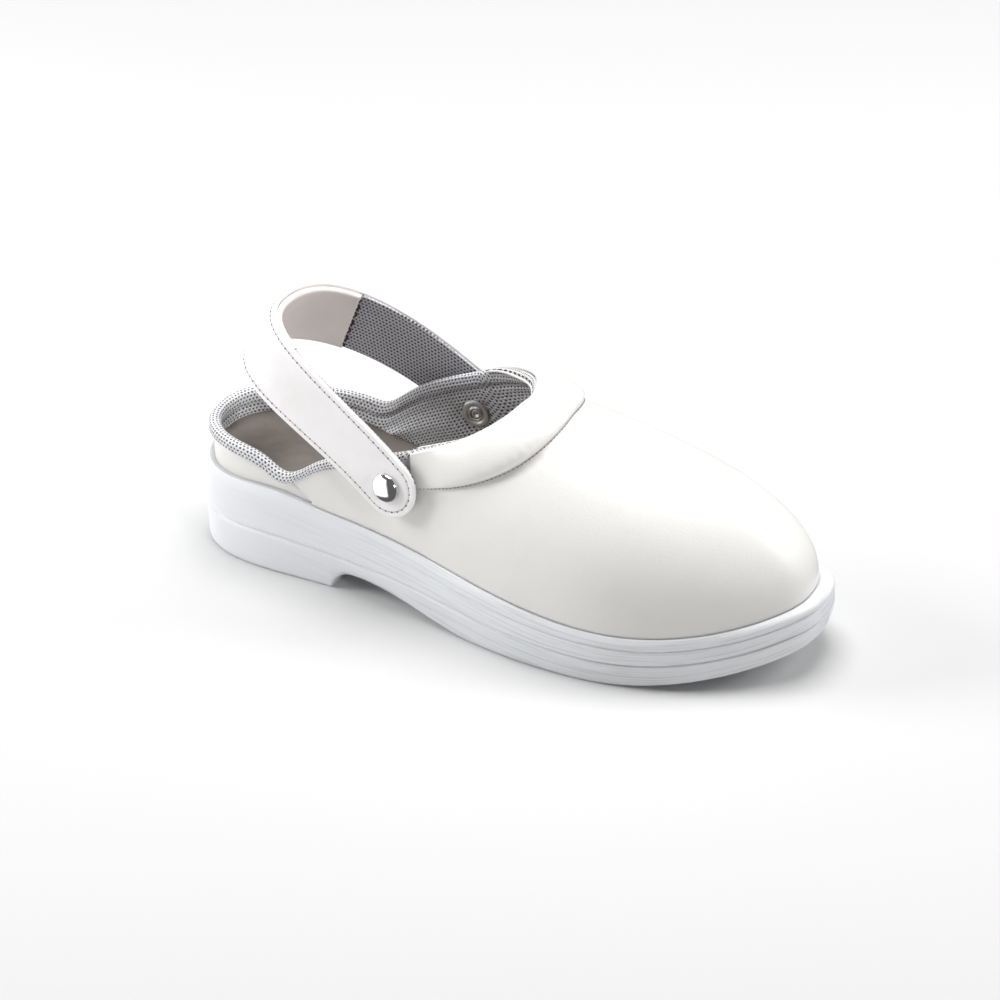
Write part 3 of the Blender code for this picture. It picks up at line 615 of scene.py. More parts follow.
upperLook = {
    "around": 520,
    "up": 90,
    "wingBand": (2.10, 2.27, 70),
    "wingEdge": ((0.81, 2.235), (0.31, 2.180), (0.07, 2.135)),
    "wingStep": 0.0013,
    "wingSharp": 0.0040,
    "wingGroove": 0.0017,
    "seamHollow": 0.0006,
    "puckers": 0.00008,
}

# Height of the roll from its medial end to its lateral one.
rollHeights = (
    (0.00, 0.0140),
    (0.07, 0.0170),
    (0.17, 0.0200),
    (0.34, 0.0198),
    (0.50, 0.0180),
    (0.66, 0.0198),
    (0.83, 0.0200),
    (0.93, 0.0170),
    (1.00, 0.0140),
)


# Height of the roll at these angles, with the table's corners rounded.
def rollHeight(turn):
    lateral, medial = collarEnds()
    angle = (np.asarray(turn, float) + math.pi) % fullTurn - math.pi
    share = (angle - (medial - fullTurn)) / (lateral - (medial - fullTurn))
    spread = np.linspace(-0.04, 0.04, 9)
    return np.mean([np.interp(share + move, *zip(*rollHeights)) for move in spread], axis=0)


def collarEnds():
    return turnOf(0.425, -1), turnOf(0.425, 1)


# 1 where the roll lies on the collar, 0 at its ends and over the heel.
def overRoll(turn):
    lateral, medial = collarEnds()
    angle = (np.asarray(turn, float) + math.pi) % fullTurn - math.pi
    return smooth(lateral - angle, 0.0, 0.25) * smooth(angle - (medial - fullTurn), 0.0, 0.25)


# Hollow and puckers of the leather below the roll's seam: how far its face lies out from the plain form.
def leatherRelief(turn, up):
    span = columnLength(turn)
    down = (1 - up) * span
    seam = rollHeight(turn)
    hollow = -upperLook["seamHollow"] * bell(down, seam + 0.0012, 0.0022) * overRoll(turn)
    run = np.arange(len(turn)) / len(turn)
    waves = np.sin(run * fullTurn * 61 + 1.7 * np.sin(run * fullTurn * 7)) * np.sin(run * fullTurn * 23 + 0.8)
    pucker = upperLook["puckers"] * waves * bell(down, seam + 0.0025, 0.0035) * overRoll(turn)
    return hollow + pucker


# How far behind the wings' slanted edge a column stands, as an angle.
def behindWing(turn, up):
    ups, turns = zip(*upperLook["wingEdge"][::-1])
    edge = np.interp(up, ups, turns)
    slope = (turns[-1] - turns[0]) / (ups[-1] - ups[0])
    edge = np.where(up > ups[-1], turns[-1] + (up - ups[-1]) * slope, edge)
    angle = np.where(turn > math.pi, fullTurn - turn, turn)
    return angle - edge


def buildUpper(madeOf):
    even = np.arange(upperLook["around"]) * fullTurn / upperLook["around"]
    nearEdge = np.linspace(*upperLook["wingBand"])
    turn = np.unique(np.concatenate([even + 0.15 * np.sin(2 * even), nearEdge, fullTurn - nearEdge]))
    sharp = upperLook["wingSharp"]
    rings = []
    for up in np.linspace(0, 1, upperLook["up"] + 1):
        ups = np.full(len(turn), up)
        behind = behindWing(turn, ups)
        relief = leatherRelief(turn, ups) - upperLook["wingStep"] * smooth(behind, -sharp, sharp)
        relief = relief - upperLook["wingGroove"] * bell(behind, sharp * 1.3, sharp * 0.9)
        rings.append(upperOffset(turn, up, relief))
    for up in np.linspace(1, 0, 13):
        rings.append(upperOffset(turn, up, -form["upperWall"]))
    points = np.stack(rings)
    upper = gridMesh("upperLeather", points, madeOf, closedColumns=True, closedRows=True, solid=True)
    return handIn(upper, "upper_leather", "upper")


whiteLeather = leatherMaterial("whiteLeather", leatherLook["white"])
buildUpper(whiteLeather)
print("upper built")


rollLook = {
    "bulge": 0.0046,
    "skin": 0.0011,
    "overEdge": 0.0011,
    "steps": 300,
    "puckers": 0.00011,
    "fill": 0.75,
}

# Section of the roll's outer face: down it in heights, then out in bulges.
rollOuter = (
    (1.00, 0.16),
    (0.97, 0.45),
    (0.86, 0.80),
    (0.65, 1.00),
    (0.38, 0.98),
    (0.14, 0.72),
    (-0.03, 0.30),
)

# How full the roll is from end to end.
rollFullness = (
    (0.00, 0.00),
    (0.06, 0.10),
    (0.13, 0.75),
    (0.20, 1.00),
    (0.80, 1.00),
    (0.87, 0.75),
    (0.94, 0.10),
    (1.00, 0.00),
)


# A smooth line through a few points, with more points along it.
def rounded(points, count):
    points = np.asarray(points, float)
    pad = np.concatenate([2 * points[:1] - points[1:2], points, 2 * points[-1:] - points[-2:-1]])
    t = np.linspace(0, len(points) - 1 - 1e-9, count)
    i = t.astype(int)
    f = (t - i)[:, None]
    a, b, c, d = pad[i], pad[i + 1], pad[i + 2], pad[i + 3]
    return 0.5 * (2 * b + (c - a) * f + (2 * a - 5 * b + 4 * c - d) * f**2 + (3 * b - a - 3 * c + d) * f**3)


def buildRoll(madeOf):
    lateral, medial = collarEnds()
    turn = evenTurns(medial - fullTurn, lateral, rollLook["steps"])
    share = np.linspace(0, 1, rollLook["steps"])
    height = rollHeight(turn)
    full = np.interp(share, *zip(*rollFullness))
    full = np.convolve(np.pad(full, 8, mode="edge"), np.ones(17) / 17, "valid")
    skin = form["clearance"] + rollLook["skin"]
    onFace = 0.0001
    beside = 2 * form["clearance"] + onFace
    over = rollLook["overEdge"]
    waves = np.sin(share * fullTurn * 31 + 2 * np.sin(share * 29)) * 0.6
    waves = rollLook["puckers"] * (waves + np.sin(share * fullTurn * 19 + 1) * 0.4)
    rings = []
    for down, out in rounded(rollOuter, 26):
        pinch = waves * full * (bell(down, 0.92, 0.12) + 0.5 * bell(down, 0.0, 0.10))
        rings.append((down * height, skin + (rollLook["bulge"] - rollLook["skin"]) * out * full - pinch))
    rings += [
        (-over, beside + rollLook["skin"] / 2),
        (-over * 0.8, beside),
        (form["clearance"] / 2, beside),
        (height * 0.04, onFace),
        (height * 0.3, onFace),
        (height * 0.65, onFace),
        (height, 0.0),
        (height * 1.02, onFace),
    ]
    points = np.stack([onCollar(turn, down, out) for down, out in rings])
    roll = gridMesh("collarPadding", points, madeOf, closedRows=True, solid=True)
    handIn(roll, "collar_leather", "collar_roll")


buildRoll(whiteLeather)
print("collar roll built")


meshLook = {
    "pitch": 0.0018,
    "hole": 0.32,
    "depth": 0.0004,
    "yarn": (0.83, 0.83, 0.86),
    # Lighter yarn crowns between the holes: a painted highlight.
    "crownHighlight": (0.97, 0.97, 0.98),
    # Near black in the holes: painted shade.
    "dark": (0.07, 0.067, 0.07),
    "around": 640,
    "rimDepth": 0.0036,
    "rimThick": 0.0014,
    "puff": 0.0012,
    "grooveDown": 0.0055,
    "grooveDepth": 0.0011,
    "backing": 0.0011,
    "turnedIn": 0.012,
}


# Spacer mesh: rows of open holes between yarns, set half a pitch apart. The holes are painted near black as
# painted shade, and the yarn crowns lighter as a painted highlight.
def meshMaterial(name, yarn, crownHighlight, dark, pitch):
    made, tree, shader = newMaterial(name)
    place = addNode(tree, "ShaderNodeUVMap", uv_map="cloth")
    u = addNode(tree, "ShaderNodeSeparateXYZ", {0: place})
    v = addNode(tree, "ShaderNodeSeparateXYZ", {0: place}, output=1)
    wobble = noiseAt(tree, objectPlace(tree), 320.0, 1.0) * 0.35
    v = v / (pitch * 0.86) + wobble
    u = u / pitch + v.math("FLOOR").math("MODULO", 2.0).math("ABSOLUTE") * 0.5 + wobble
    across, upward = u.math("FRACT") - 0.5, v.math("FRACT") - 0.5
    away = (across * across + upward * upward).math("SQRT")
    hole = away.ramp(meshLook["hole"], meshLook["hole"] * 0.6)
    crown = away.ramp(0.40, 0.62)
    # Crowns painted lighter as a painted highlight, holes painted near black as painted shade.
    body = mixColour(tree, crown * 0.8, yarn, crownHighlight)
    connect(tree, shader.inputs["Base Color"], mixColour(tree, hole, body, dark))
    shader.inputs["Roughness"].default_value = 0.9
    shader.inputs["Specular IOR Level"].default_value = 0.2
    bumpInto(tree, shader, crown * 0.6 - hole, meshLook["depth"])
    return made


# One sheet: folded out over wings and heel, over the edge, and down the inside to the insole.
def buildLining(madeOf):
    lateral, medial = collarEnds()
    turn = evenTurns(0.0, fullTurn, meshLook["around"], closed=True)
    over = ((turn > lateral + 0.01) & (turn < medial - 0.01)).astype(float)
    over = np.convolve(np.pad(over, 9, mode="wrap"), np.hanning(19) / np.hanning(19).sum(), "valid")
    reach = np.abs(turn - (medial + lateral) / 2) / ((medial - lateral) / 2)
    slim = 1 - 0.5 * smooth(reach, 0.45, 0.72)
    thick = 0.0001 + (meshLook["rimThick"] * slim - 0.0001) * over
    deep = meshLook["rimDepth"] * (0.6 + 0.4 * (1 - smooth(reach, 0.5, 1.0))) * over
    gap = form["clearance"] * 0.3
    rows = [(deep, -1.1 * upperLook["wingStep"] * over)]
    for share in (0.0, 0.12, 0.3, 0.5, 0.75, 1.0):
        out = gap + thick * math.sin(min(1.0, share * 2.2 + 0.25) * math.pi / 2)
        rows.append((deep * (1 - share), out))
    wall, backing = form["upperWall"], meshLook["backing"]
    for angle in np.linspace(0.12, 0.88, 9) * math.pi:
        half = (wall + thick + backing) / 2
        out = (thick - wall - backing) / 2 + half * math.cos(angle)
        rows.append((-0.0003 - 0.0012 * math.sin(angle), out))
    rings = [onCollar(turn, down, out) for down, out in rows]
    for down in np.linspace(0.0, meshLook["turnedIn"], 13):
        groove = meshLook["grooveDepth"] * bell(down, meshLook["grooveDown"], 0.0009)
        out = groove - wall - backing - 0.0006 * bell(down, 0.0028, 0.002)
        rings.append(onCollar(turn, np.full(len(turn), down + 1e-5), out))
    start = 1 - (meshLook["turnedIn"] + 0.001) / columnLength(turn)
    seats = [np.array(rivetSeat(side)[0]) for side in (-1, 1)]
    for share in np.linspace(0, 1, 24):
        up = start + (0.03 - start) * share
        face = upperFace(turn, up)
        near = np.min([np.linalg.norm(face - seat, axis=1) for seat in seats], axis=0)
        puff = meshLook["puff"] * bell(share, 0.35, 0.28) * smooth(near, 0.005, 0.014)
        puff = puff + 0.0003 + 0.0008 * (1 - share) * smooth(near, 0.005, 0.012)
        rings.append(upperOffset(turn, up, -wall - puff))
    points = np.stack(rings)
    lining = gridMesh("meshLining", points, madeOf, closedColumns=True, uv=clothMap(points), flip=True)
    return handIn(lining, "mesh_grey", "collar_binding")


@functools.cache
def rivetSeat(side):
    turn = turnOf(form["rivetAlong"], side)
    shares = np.linspace(0, 1, 101)
    heights = upperFace(turn, shares)[:, 2]
    share = np.array([np.interp(form["rivetHeight"], heights, shares)])
    return Vector(upperFace(turn, share)[0]), Vector(upperNormal(turn, share)[0])


greyMesh = meshMaterial("greyMesh", meshLook["yarn"], meshLook["crownHighlight"], meshLook["dark"], meshLook["pitch"])
buildLining(greyMesh)
print("mesh lining built")


insoleLook = {
    "thickness": 0.004,
    "gap": 0.0010,
    "colour": (0.24, 0.212, 0.188),
    "darker": (0.15, 0.132, 0.118),
    "cup": 0.0016,
    "edgeRound": 0.0006,
    "weaveScale": 1400.0,
    "around": 240,
}


def buildInsole():
    made, tree, shader = newMaterial("insoleCloth")
    place = objectPlace(tree)
    fine = noiseAt(tree, place, insoleLook["weaveScale"], 2.0)
    cloud = noiseAt(tree, place, 60.0, 4.0, 0.6).ramp(0.35, 0.7)
    tone = mixColour(tree, cloud * 0.5 + fine * 0.3, insoleLook["colour"], insoleLook["darker"])
    connect(tree, shader.inputs["Base Color"], tone)
    shader.inputs["Roughness"].default_value = 0.95
    shader.inputs["Specular IOR Level"].default_value = 0.15
    bumpInto(tree, shader, fine + cloud * 0.5, 0.00012)
    even = np.arange(insoleLook["around"]) * fullTurn / insoleLook["around"]
    turn = even + 0.15 * np.sin(2 * even)
    edge = form["soleLip"] * columnValues(turn)[0] + form["upperWall"] + insoleLook["gap"]
    rim, _ = outline(turn, edge)
    opposite = rim[-np.arange(insoleLook["around"])]
    spine = np.column_stack([rim[:, 0], opposite[:, 1] / 2 + rim[:, 1] / 2])
    rings = []
    for share in (0.0, 0.0, 0.02, 0.08, 0.16, 0.28, 0.45, 0.7, 1.0):
        plan = rim * (1 - share) + spine * share
        base = featherHeight(plan[:, 0]) - form["ledgeDrop"]
        lift = 0.0
        if rings:
            heel = smooth(0.35 - plan[:, 0] / form["length"], -0.1, 0.2)
            lift = insoleLook["thickness"] - insoleLook["edgeRound"] * (share == 0)
            lift = lift + insoleLook["cup"] * (1 - smooth(share, 0.0, 0.5)) * heel
        rings.append(np.column_stack([plan, base + lift]))
    insole = gridMesh("insoleTop", np.stack(rings), made, closedColumns=True, flip=True)
    up = Vector((0, 0, 1))
    if sum(face.normal.dot(up) * face.area for face in insole.data.polygons) < 0:
        insole.data.flip_normals()
    return handIn(insole, "insole_cloth", "insole")


buildInsole()
print("insole built")


strapLook = {
    "lift": 0.0025,
    "thickness": 0.0020,
    "armWidth": 0.0275,
    "backWidth": 0.0330,
    "reach": 0.0810,
    "rise": 0.0385,
    "armPull": 0.58,
    "backPull": 0.40,
    "slope": math.radians(37.0),
    "backTilt": math.radians(30.0),
    "liningThickness": 0.0013,
    "padThickness": 0.0030,
    "liningInset": 0.0008,
    "padShare": 0.31,
    "padRound": 0.0013,
    "liningRound": 0.0006,
    "padFill": 0.7,
    "edgeRound": 0.0006,
    "stitchIn": 0.0025,
    "stitchGroove": 0.00022,
    "pillow": 0.00022,
}


def strapFace():
    return strapLook["lift"] + strapLook["liningThickness"] + form["clearance"] + strapLook["thickness"]


@functools.cache
def strapControls():
    halves = []
    for side in (-1, 1):
        seat, normal = rivetSeat(side)
        start = seat + normal * (strapFace() - strapLook["thickness"] / 2)
        slope = Vector((-math.cos(strapLook["slope"]), 0, math.sin(strapLook["slope"])))
        along = (slope - normal * slope.dot(normal)).normalized()
        back = Vector((start.x - strapLook["reach"], 0.0, start.z + strapLook["rise"]))
        halves.append((start, along, normal, back))
    back = (halves[0][3] + halves[1][3]) / 2
    bow = abs(halves[0][0].y - halves[1][0].y)
    controls = []
    for (start, along, normal, _), side in zip(halves, (-1, 1)):
        fromArm = start + along * strapLook["reach"] * strapLook["armPull"]
        fromBack = back + Vector((0, side * bow * strapLook["backPull"], 0))
        line = [tuple(point) for point in (start, fromArm, fromBack, back)]
        controls.append((np.array(line), np.array(normal)))
    return controls


def unit(vectors):
    return vectors / np.linalg.norm(vectors, axis=-1)[..., None]


# Middle line, width direction and outward direction of the strap at shares of it.
def strapFrames(shares):
    shares = np.asarray(shares, float)
    middle, widths, outs = (np.zeros((len(shares), 3)) for _ in range(3))
    last = np.array([math.sin(strapLook["backTilt"]), 0, math.cos(strapLook["backTilt"])])
    for half, (line, normal) in enumerate(strapControls()):
        chosen = shares <= 0.5 if half == 0 else shares > 0.5
        t = (shares[chosen] * 2 if half == 0 else (1 - shares[chosen]) * 2)[:, None]
        a, b, c, d = line
        middle[chosen] = a * (1 - t) ** 3 + b * 3 * (1 - t) ** 2 * t + c * 3 * (1 - t) * t * t + d * t**3
        along = unit((b - a) * (1 - t) ** 2 + (c - b) * 2 * (1 - t) * t + (d - c) * t * t)
        first = np.cross(along, normal)
        first *= np.where(first[:, 2:] < 0, -1, 1)
        width = first + (last - first) * (t * t * (3 - 2 * t))
        width = unit(width - along * np.sum(width * along, axis=1)[:, None])
        widths[chosen] = width
        outs[chosen] = np.cross(along, width) * (-1 if half == 0 else 1)
    return middle, widths, outs


@functools.cache
def strapLengths():
    shares = np.linspace(0, 1, 481)
    middle = strapFrames(shares)[0]
    return shares, np.append(0, np.cumsum(np.linalg.norm(np.diff(middle, axis=0), axis=1)))


# A point of the strap: along it in metres, across it from the middle and out from its middle.
def onStrap(along, across, out):
    shares, lengths = strapLengths()
    inside = np.clip(along, 0, lengths[-1])
    share = np.interp(inside, lengths, shares)
    middle, widths, outs = strapFrames(share)
    step = 0.002
    near = strapFrames(np.interp(np.where(along < 0, step, lengths[-1] - step), lengths, shares))[0]
    beyond = unit(middle - near + 1e-12) * np.abs(along - inside)[:, None]
    return middle + beyond + widths * across[:, None] + outs * np.reshape(out, (-1, 1))


def halfWidth(along):
    total = strapLengths()[1][-1]
    arm, back = strapLook["armWidth"] / 2, strapLook["backWidth"] / 2
    return arm + (back - arm) * np.sin(math.pi * np.clip(along / total, 0, 1)) ** 2


# Outline of a stretch of the strap and the way in from each of its points.
def bandOutline(start, end, inset, roundStart, roundEnd):
    sides = 150
    along = np.linspace(start, end, sides)
    half = halfWidth(along) - inset
    loop = [(s, h, 0.0, -1.0) for s, h in zip(along, half)]
    arm = strapLook["armWidth"] / 2 - inset
    corner = np.radians(np.linspace(90, -90, 31)[1:-1])
    if roundEnd:
        loop += [(end + arm * math.cos(a), arm * math.sin(a), -math.cos(a), -math.sin(a)) for a in corner]
    else:
        wide = halfWidth(np.array([end]))[0] - inset
        loop += [(end, wide * w, 0.0, -w) for w in np.linspace(1, -1, 19)[1:-1]]
    loop += [(s, -h, 0.0, 1.0) for s, h in zip(along[::-1], half[::-1])]
    if roundStart:
        loop += [(start - arm * math.cos(a), arm * math.sin(a), math.cos(a), -math.sin(a)) for a in -corner]
    else:
        wide = halfWidth(np.array([start]))[0] - inset
        loop += [(start, wide * w, 0.0, -w) for w in np.linspace(-1, 1, 19)[1:-1]]
    return np.array(loop)


# A closed band: rings go from the middle of its outer face round the edge to the middle of the inner one.
def buildBand(name, start, end, inset, inner, outer, ends, madeOf, edgeRound, groove=0.0, pillow=0.0):
    loop = bandOutline(start, end, inset, *ends)
    limit = halfWidth(np.clip(loop[:, 0], start, end)) - inset
    thick = outer - inner
    edgeRound = min(edgeRound, thick * 0.49)
    rows = []
    stitch = strapLook["stitchIn"]
    for share in (1.0, 0.75, 0.5, 0.25, 0.0):
        rows.append((0.0055, share, outer + pillow))
    for d in (0.0046, 0.0038, 0.0032, 0.0028, 0.0025, 0.0022, 0.0018, 0.0012):
        rows.append((d, 0.0, outer + pillow * smooth(d, 0.001, 0.0045) - groove * bell(d, stitch, 0.0005)))
    for angle in np.radians([90, 68, 45, 22, 0]):
        rows.append((edgeRound * (1 - math.cos(angle)), 0.0, outer - edgeRound * (1 - math.sin(angle))))
    for angle in np.radians([0, 22, 45, 68, 90]):
        rows.append((edgeRound * (1 - math.cos(angle)), 0.0, inner + edgeRound * (1 - math.sin(angle))))
    rows += [(0.0025, 0.0, inner), (0.0055, 0.0, inner), (0.0055, 0.5, inner), (0.0055, 1.0, inner)]
    rings, maps = [], []
    for d, share, height in rows:
        move = np.minimum(d + share * (limit - d), limit)
        along = loop[:, 0] + loop[:, 2] * move
        across = loop[:, 1] + loop[:, 3] * move
        drawn = np.minimum(move, edgeRound) + 0.0004 * move / limit
        if not ends[0]:
            along += drawn * np.clip(1 - (along - start) / 0.008, 0, 1)
        if not ends[1]:
            along -= drawn * np.clip(1 - (end - along) / 0.008, 0, 1)
        rings.append(onStrap(along, across, np.full(len(along), height)))
        maps.append(np.column_stack([along, across]))
    maps = np.stack(maps)
    maps = np.concatenate([maps, maps[:, :1]], 1)
    return gridMesh(name, np.stack(rings), madeOf, closedColumns=True, uv=maps, solid=True, weld=2e-6)


strapMeshLook = {
    "yarn": (0.50, 0.485, 0.52),
    # Lighter yarn crowns are a painted highlight; the near black in the holes is painted shade.
    "crownHighlight": (0.88, 0.86, 0.90),
    "dark": (0.06, 0.055, 0.065),
    "pitch": 0.0017,
}
beigeLook = {"colour": (0.86, 0.80, 0.77), "darker": (0.78, 0.72, 0.69), "roughness": 0.75}


def beigeMaterial():
    made, tree, shader = newMaterial("beigePad")
    place = objectPlace(tree)
    fine = noiseAt(tree, place, 1600.0, 2.0)
    cloud = noiseAt(tree, place, 45.0, 2.0).ramp(0.35, 0.7)
    tone = mixColour(tree, cloud * 0.6, beigeLook["colour"], beigeLook["darker"])
    connect(tree, shader.inputs["Base Color"], tone)
    shader.inputs["Roughness"].default_value = beigeLook["roughness"]
    bumpInto(tree, shader, fine, 0.00004)
    return made


def buildStrap():
    total = float(strapLengths()[1][-1])
    half, inset, edge = (strapLook[key] for key in ("thickness", "liningInset", "edgeRound"))
    half /= 2
    # The strap's leather is the white leather painted lighter, as painted light.
    leather = leatherMaterial("strapLeather", leatherLook["strapLitWhite"], 0.6)
    relief = (strapLook["stitchGroove"], strapLook["pillow"])
    strap = buildBand("strapOuter", 0.0, total, 0.0, -half, half, (True, True), leather, edge, *relief)
    handIn(strap, "strap_leather", "strap")
    outer = -half - 0.0001
    inner = outer - strapLook["liningThickness"]
    start, end = total * strapLook["padShare"], total * (1 - strapLook["padShare"])
    darkMesh = meshMaterial("strapMesh", **strapMeshLook)
    edge = strapLook["liningRound"]
    lateral = buildBand("strapMeshLateral", 0.0, start, inset, inner, outer, (True, False), darkMesh, edge)
    handIn(lateral, "strap_mesh", "strap_lining_lateral")
    medial = buildBand("strapMeshMedial", end, total, inset, inner, outer, (False, True), darkMesh, edge)
    handIn(medial, "strap_mesh", "strap_lining_medial")
    inner, edge, beige = outer - strapLook["padThickness"], strapLook["padRound"], beigeMaterial()
    pad = buildBand("strapBackPad", start, end, inset, inner, outer, (False, False), beige, edge)
    handIn(pad, "pad_beige", "strap_pad")


buildStrap()
print("strap built")


rivetLook = {
    "capRadius": 0.0065,
    "capHeight": 0.0040,
    "capRim": 0.0006,
    "postRadius": 0.0020,
    "postEnd": 0.0014,
    "backRadius": 0.0064,
    "backThickness": 0.0012,
    "backBend": 0.0014,
    "sides": 72,
    "metal": (0.74, 0.73, 0.73),
    "roughness": 0.14,
    "washer": (0.60, 0.585, 0.57),
    "washerRoughness": 0.3,
}


def chromeMaterial(name, colour, roughness):
    made, tree, shader = newMaterial(name)
    place = objectPlace(tree)
    haze = noiseAt(tree, place, 700.0, 3.0)
    shader.inputs["Base Color"].default_value = (*colour, 1.0)
    shader.inputs["Metallic"].default_value = 1.0
    connect(tree, shader.inputs["Roughness"], haze * 0.1 + (roughness - 0.05))
    bumpInto(tree, shader, noiseAt(tree, place, 150.0, 1.0), 0.00002)
    return made


# A turned piece from a profile of radii and heights, set on a seat along its axis.
def buildTurned(name, profile, seat, axis, madeOf):
    turns = np.arange(rivetLook["sides"]) * fullTurn / rivetLook["sides"]
    place = np.array(Matrix.Translation(seat) @ axis.to_track_quat("Z", "Y").to_matrix().to_4x4())
    rings = []
    for radius, height in profile:
        local = np.column_stack([radius * np.cos(turns), radius * np.sin(turns), np.full(len(turns), height)])
        rings.append(local @ place[:3, :3].T + place[:3, 3])
    return gridMesh(name, np.stack(rings), madeOf, closedColumns=True, solid=True, weld=1e-7)


# From the end of the post, out under the dome, round its rim and up to its top.
def capProfile():
    radius, tall, rim, post = (rivetLook[key] for key in ("capRadius", "capHeight", "capRim", "postRadius"))
    face = strapFace() + 0.00002
    end = -form["upperWall"] - rivetLook["postEnd"]
    profile = [(0.0, end + 0.0012), (post * 0.6, end + 0.0010), (post * 0.85, end), (post, end + 0.0003)]
    profile += [(post, face), (radius * 0.93, face)]
    for angle in np.radians([0, 30, 60, 90]):
        profile.append((radius * (0.97 + 0.03 * math.sin(angle)), face + rim - rim * math.cos(angle)))
    for angle in np.radians(np.linspace(8, 90, 16)):
        across = radius * math.cos(angle) ** 0.85 if angle < 1.57 else 0.0
        profile.append((across, face + rim + (tall - rim) * math.sin(angle)))
    return profile


# A flat ring with a rounded edge and a raised inner collar, closed on itself.
def washerProfile():
    post, back = rivetLook["postRadius"], rivetLook["backRadius"]
    thick, bend = rivetLook["backThickness"], rivetLook["backBend"]
    top = -form["upperWall"] - form["clearance"]
    ring = [(post * 1.15, top), (back, top)]
    for angle in np.radians(np.linspace(0, 90, 7)):
        ring.append((back - bend + bend * math.cos(angle), top - thick * (0.4 + 0.6 * math.sin(angle))))
    for out, deep in ((0.66, 1.0), (0.60, 0.55), (0.52, 0.55), (0.47, 1.1)):
        ring.append((back * out, top - thick * deep))
    ring += [(post * 1.25, top - thick * 1.15), (post * 1.15, top - thick * 0.8)]
    return ring + ring[:1]


def buildRivets():
    chrome = chromeMaterial("rivetChrome", rivetLook["metal"], rivetLook["roughness"])
    steel = chromeMaterial("washerSteel", rivetLook["washer"], rivetLook["washerRoughness"])
    for side, name in ((-1, "lateral"), (1, "medial")):
        seat, axis = rivetSeat(side)
        cap = buildTurned("rivetCap" + name.title(), capProfile(), seat, axis, chrome)
        handIn(cap, "rivet_chrome", "rivet_cap_" + name)
        washer = buildTurned("rivetBack" + name.title(), washerProfile(), seat, axis, steel)
        handIn(washer, "rivet_chrome", "rivet_back_" + name)


buildRivets()
print("rivets built")


stitchLook = {
    "seed": 11,
    "thread": (0.60, 0.57, 0.56),
    "dark": (0.06, 0.055, 0.055),
    "pale": (0.84, 0.83, 0.81),
    # Near black of the needle-hole dots: painted shade in the holes.
    "hole": (0.13, 0.105, 0.095),
    "zigzagEnd": 0.0026,
    "strap": {"Pitch": 0.0030, "Long": 0.0023, "Wide": 0.0005, "Slant": 0.0, "Hole size": 0.0009},
    "zigzag": {"Pitch": 0.0022, "Long": 0.0034, "Wide": 0.0012, "Slant": 0.9, "Hole size": 0.0004},
    "roll": {"Pitch": 0.0020, "Long": 0.0015, "Wide": 0.0004, "Slant": 0.0, "Hole size": 0.0006},
    "edge": {"Pitch": 0.0036, "Long": 0.0026, "Wide": 0.0009, "Slant": 0.0, "Hole size": 0.0008},
}


def plainMaterial(name, colour, roughness):
    made, tree, shader = newMaterial(name)
    place = objectPlace(tree)
    tone = mixColour(tree, noiseAt(tree, place, 900.0, 2.0) * 0.3, colour, tuple(v * 0.7 for v in colour))
    connect(tree, shader.inputs["Base Color"], tone)
    shader.inputs["Roughness"].default_value = roughness
    shader.inputs["Specular IOR Level"].default_value = 0.2
    return made
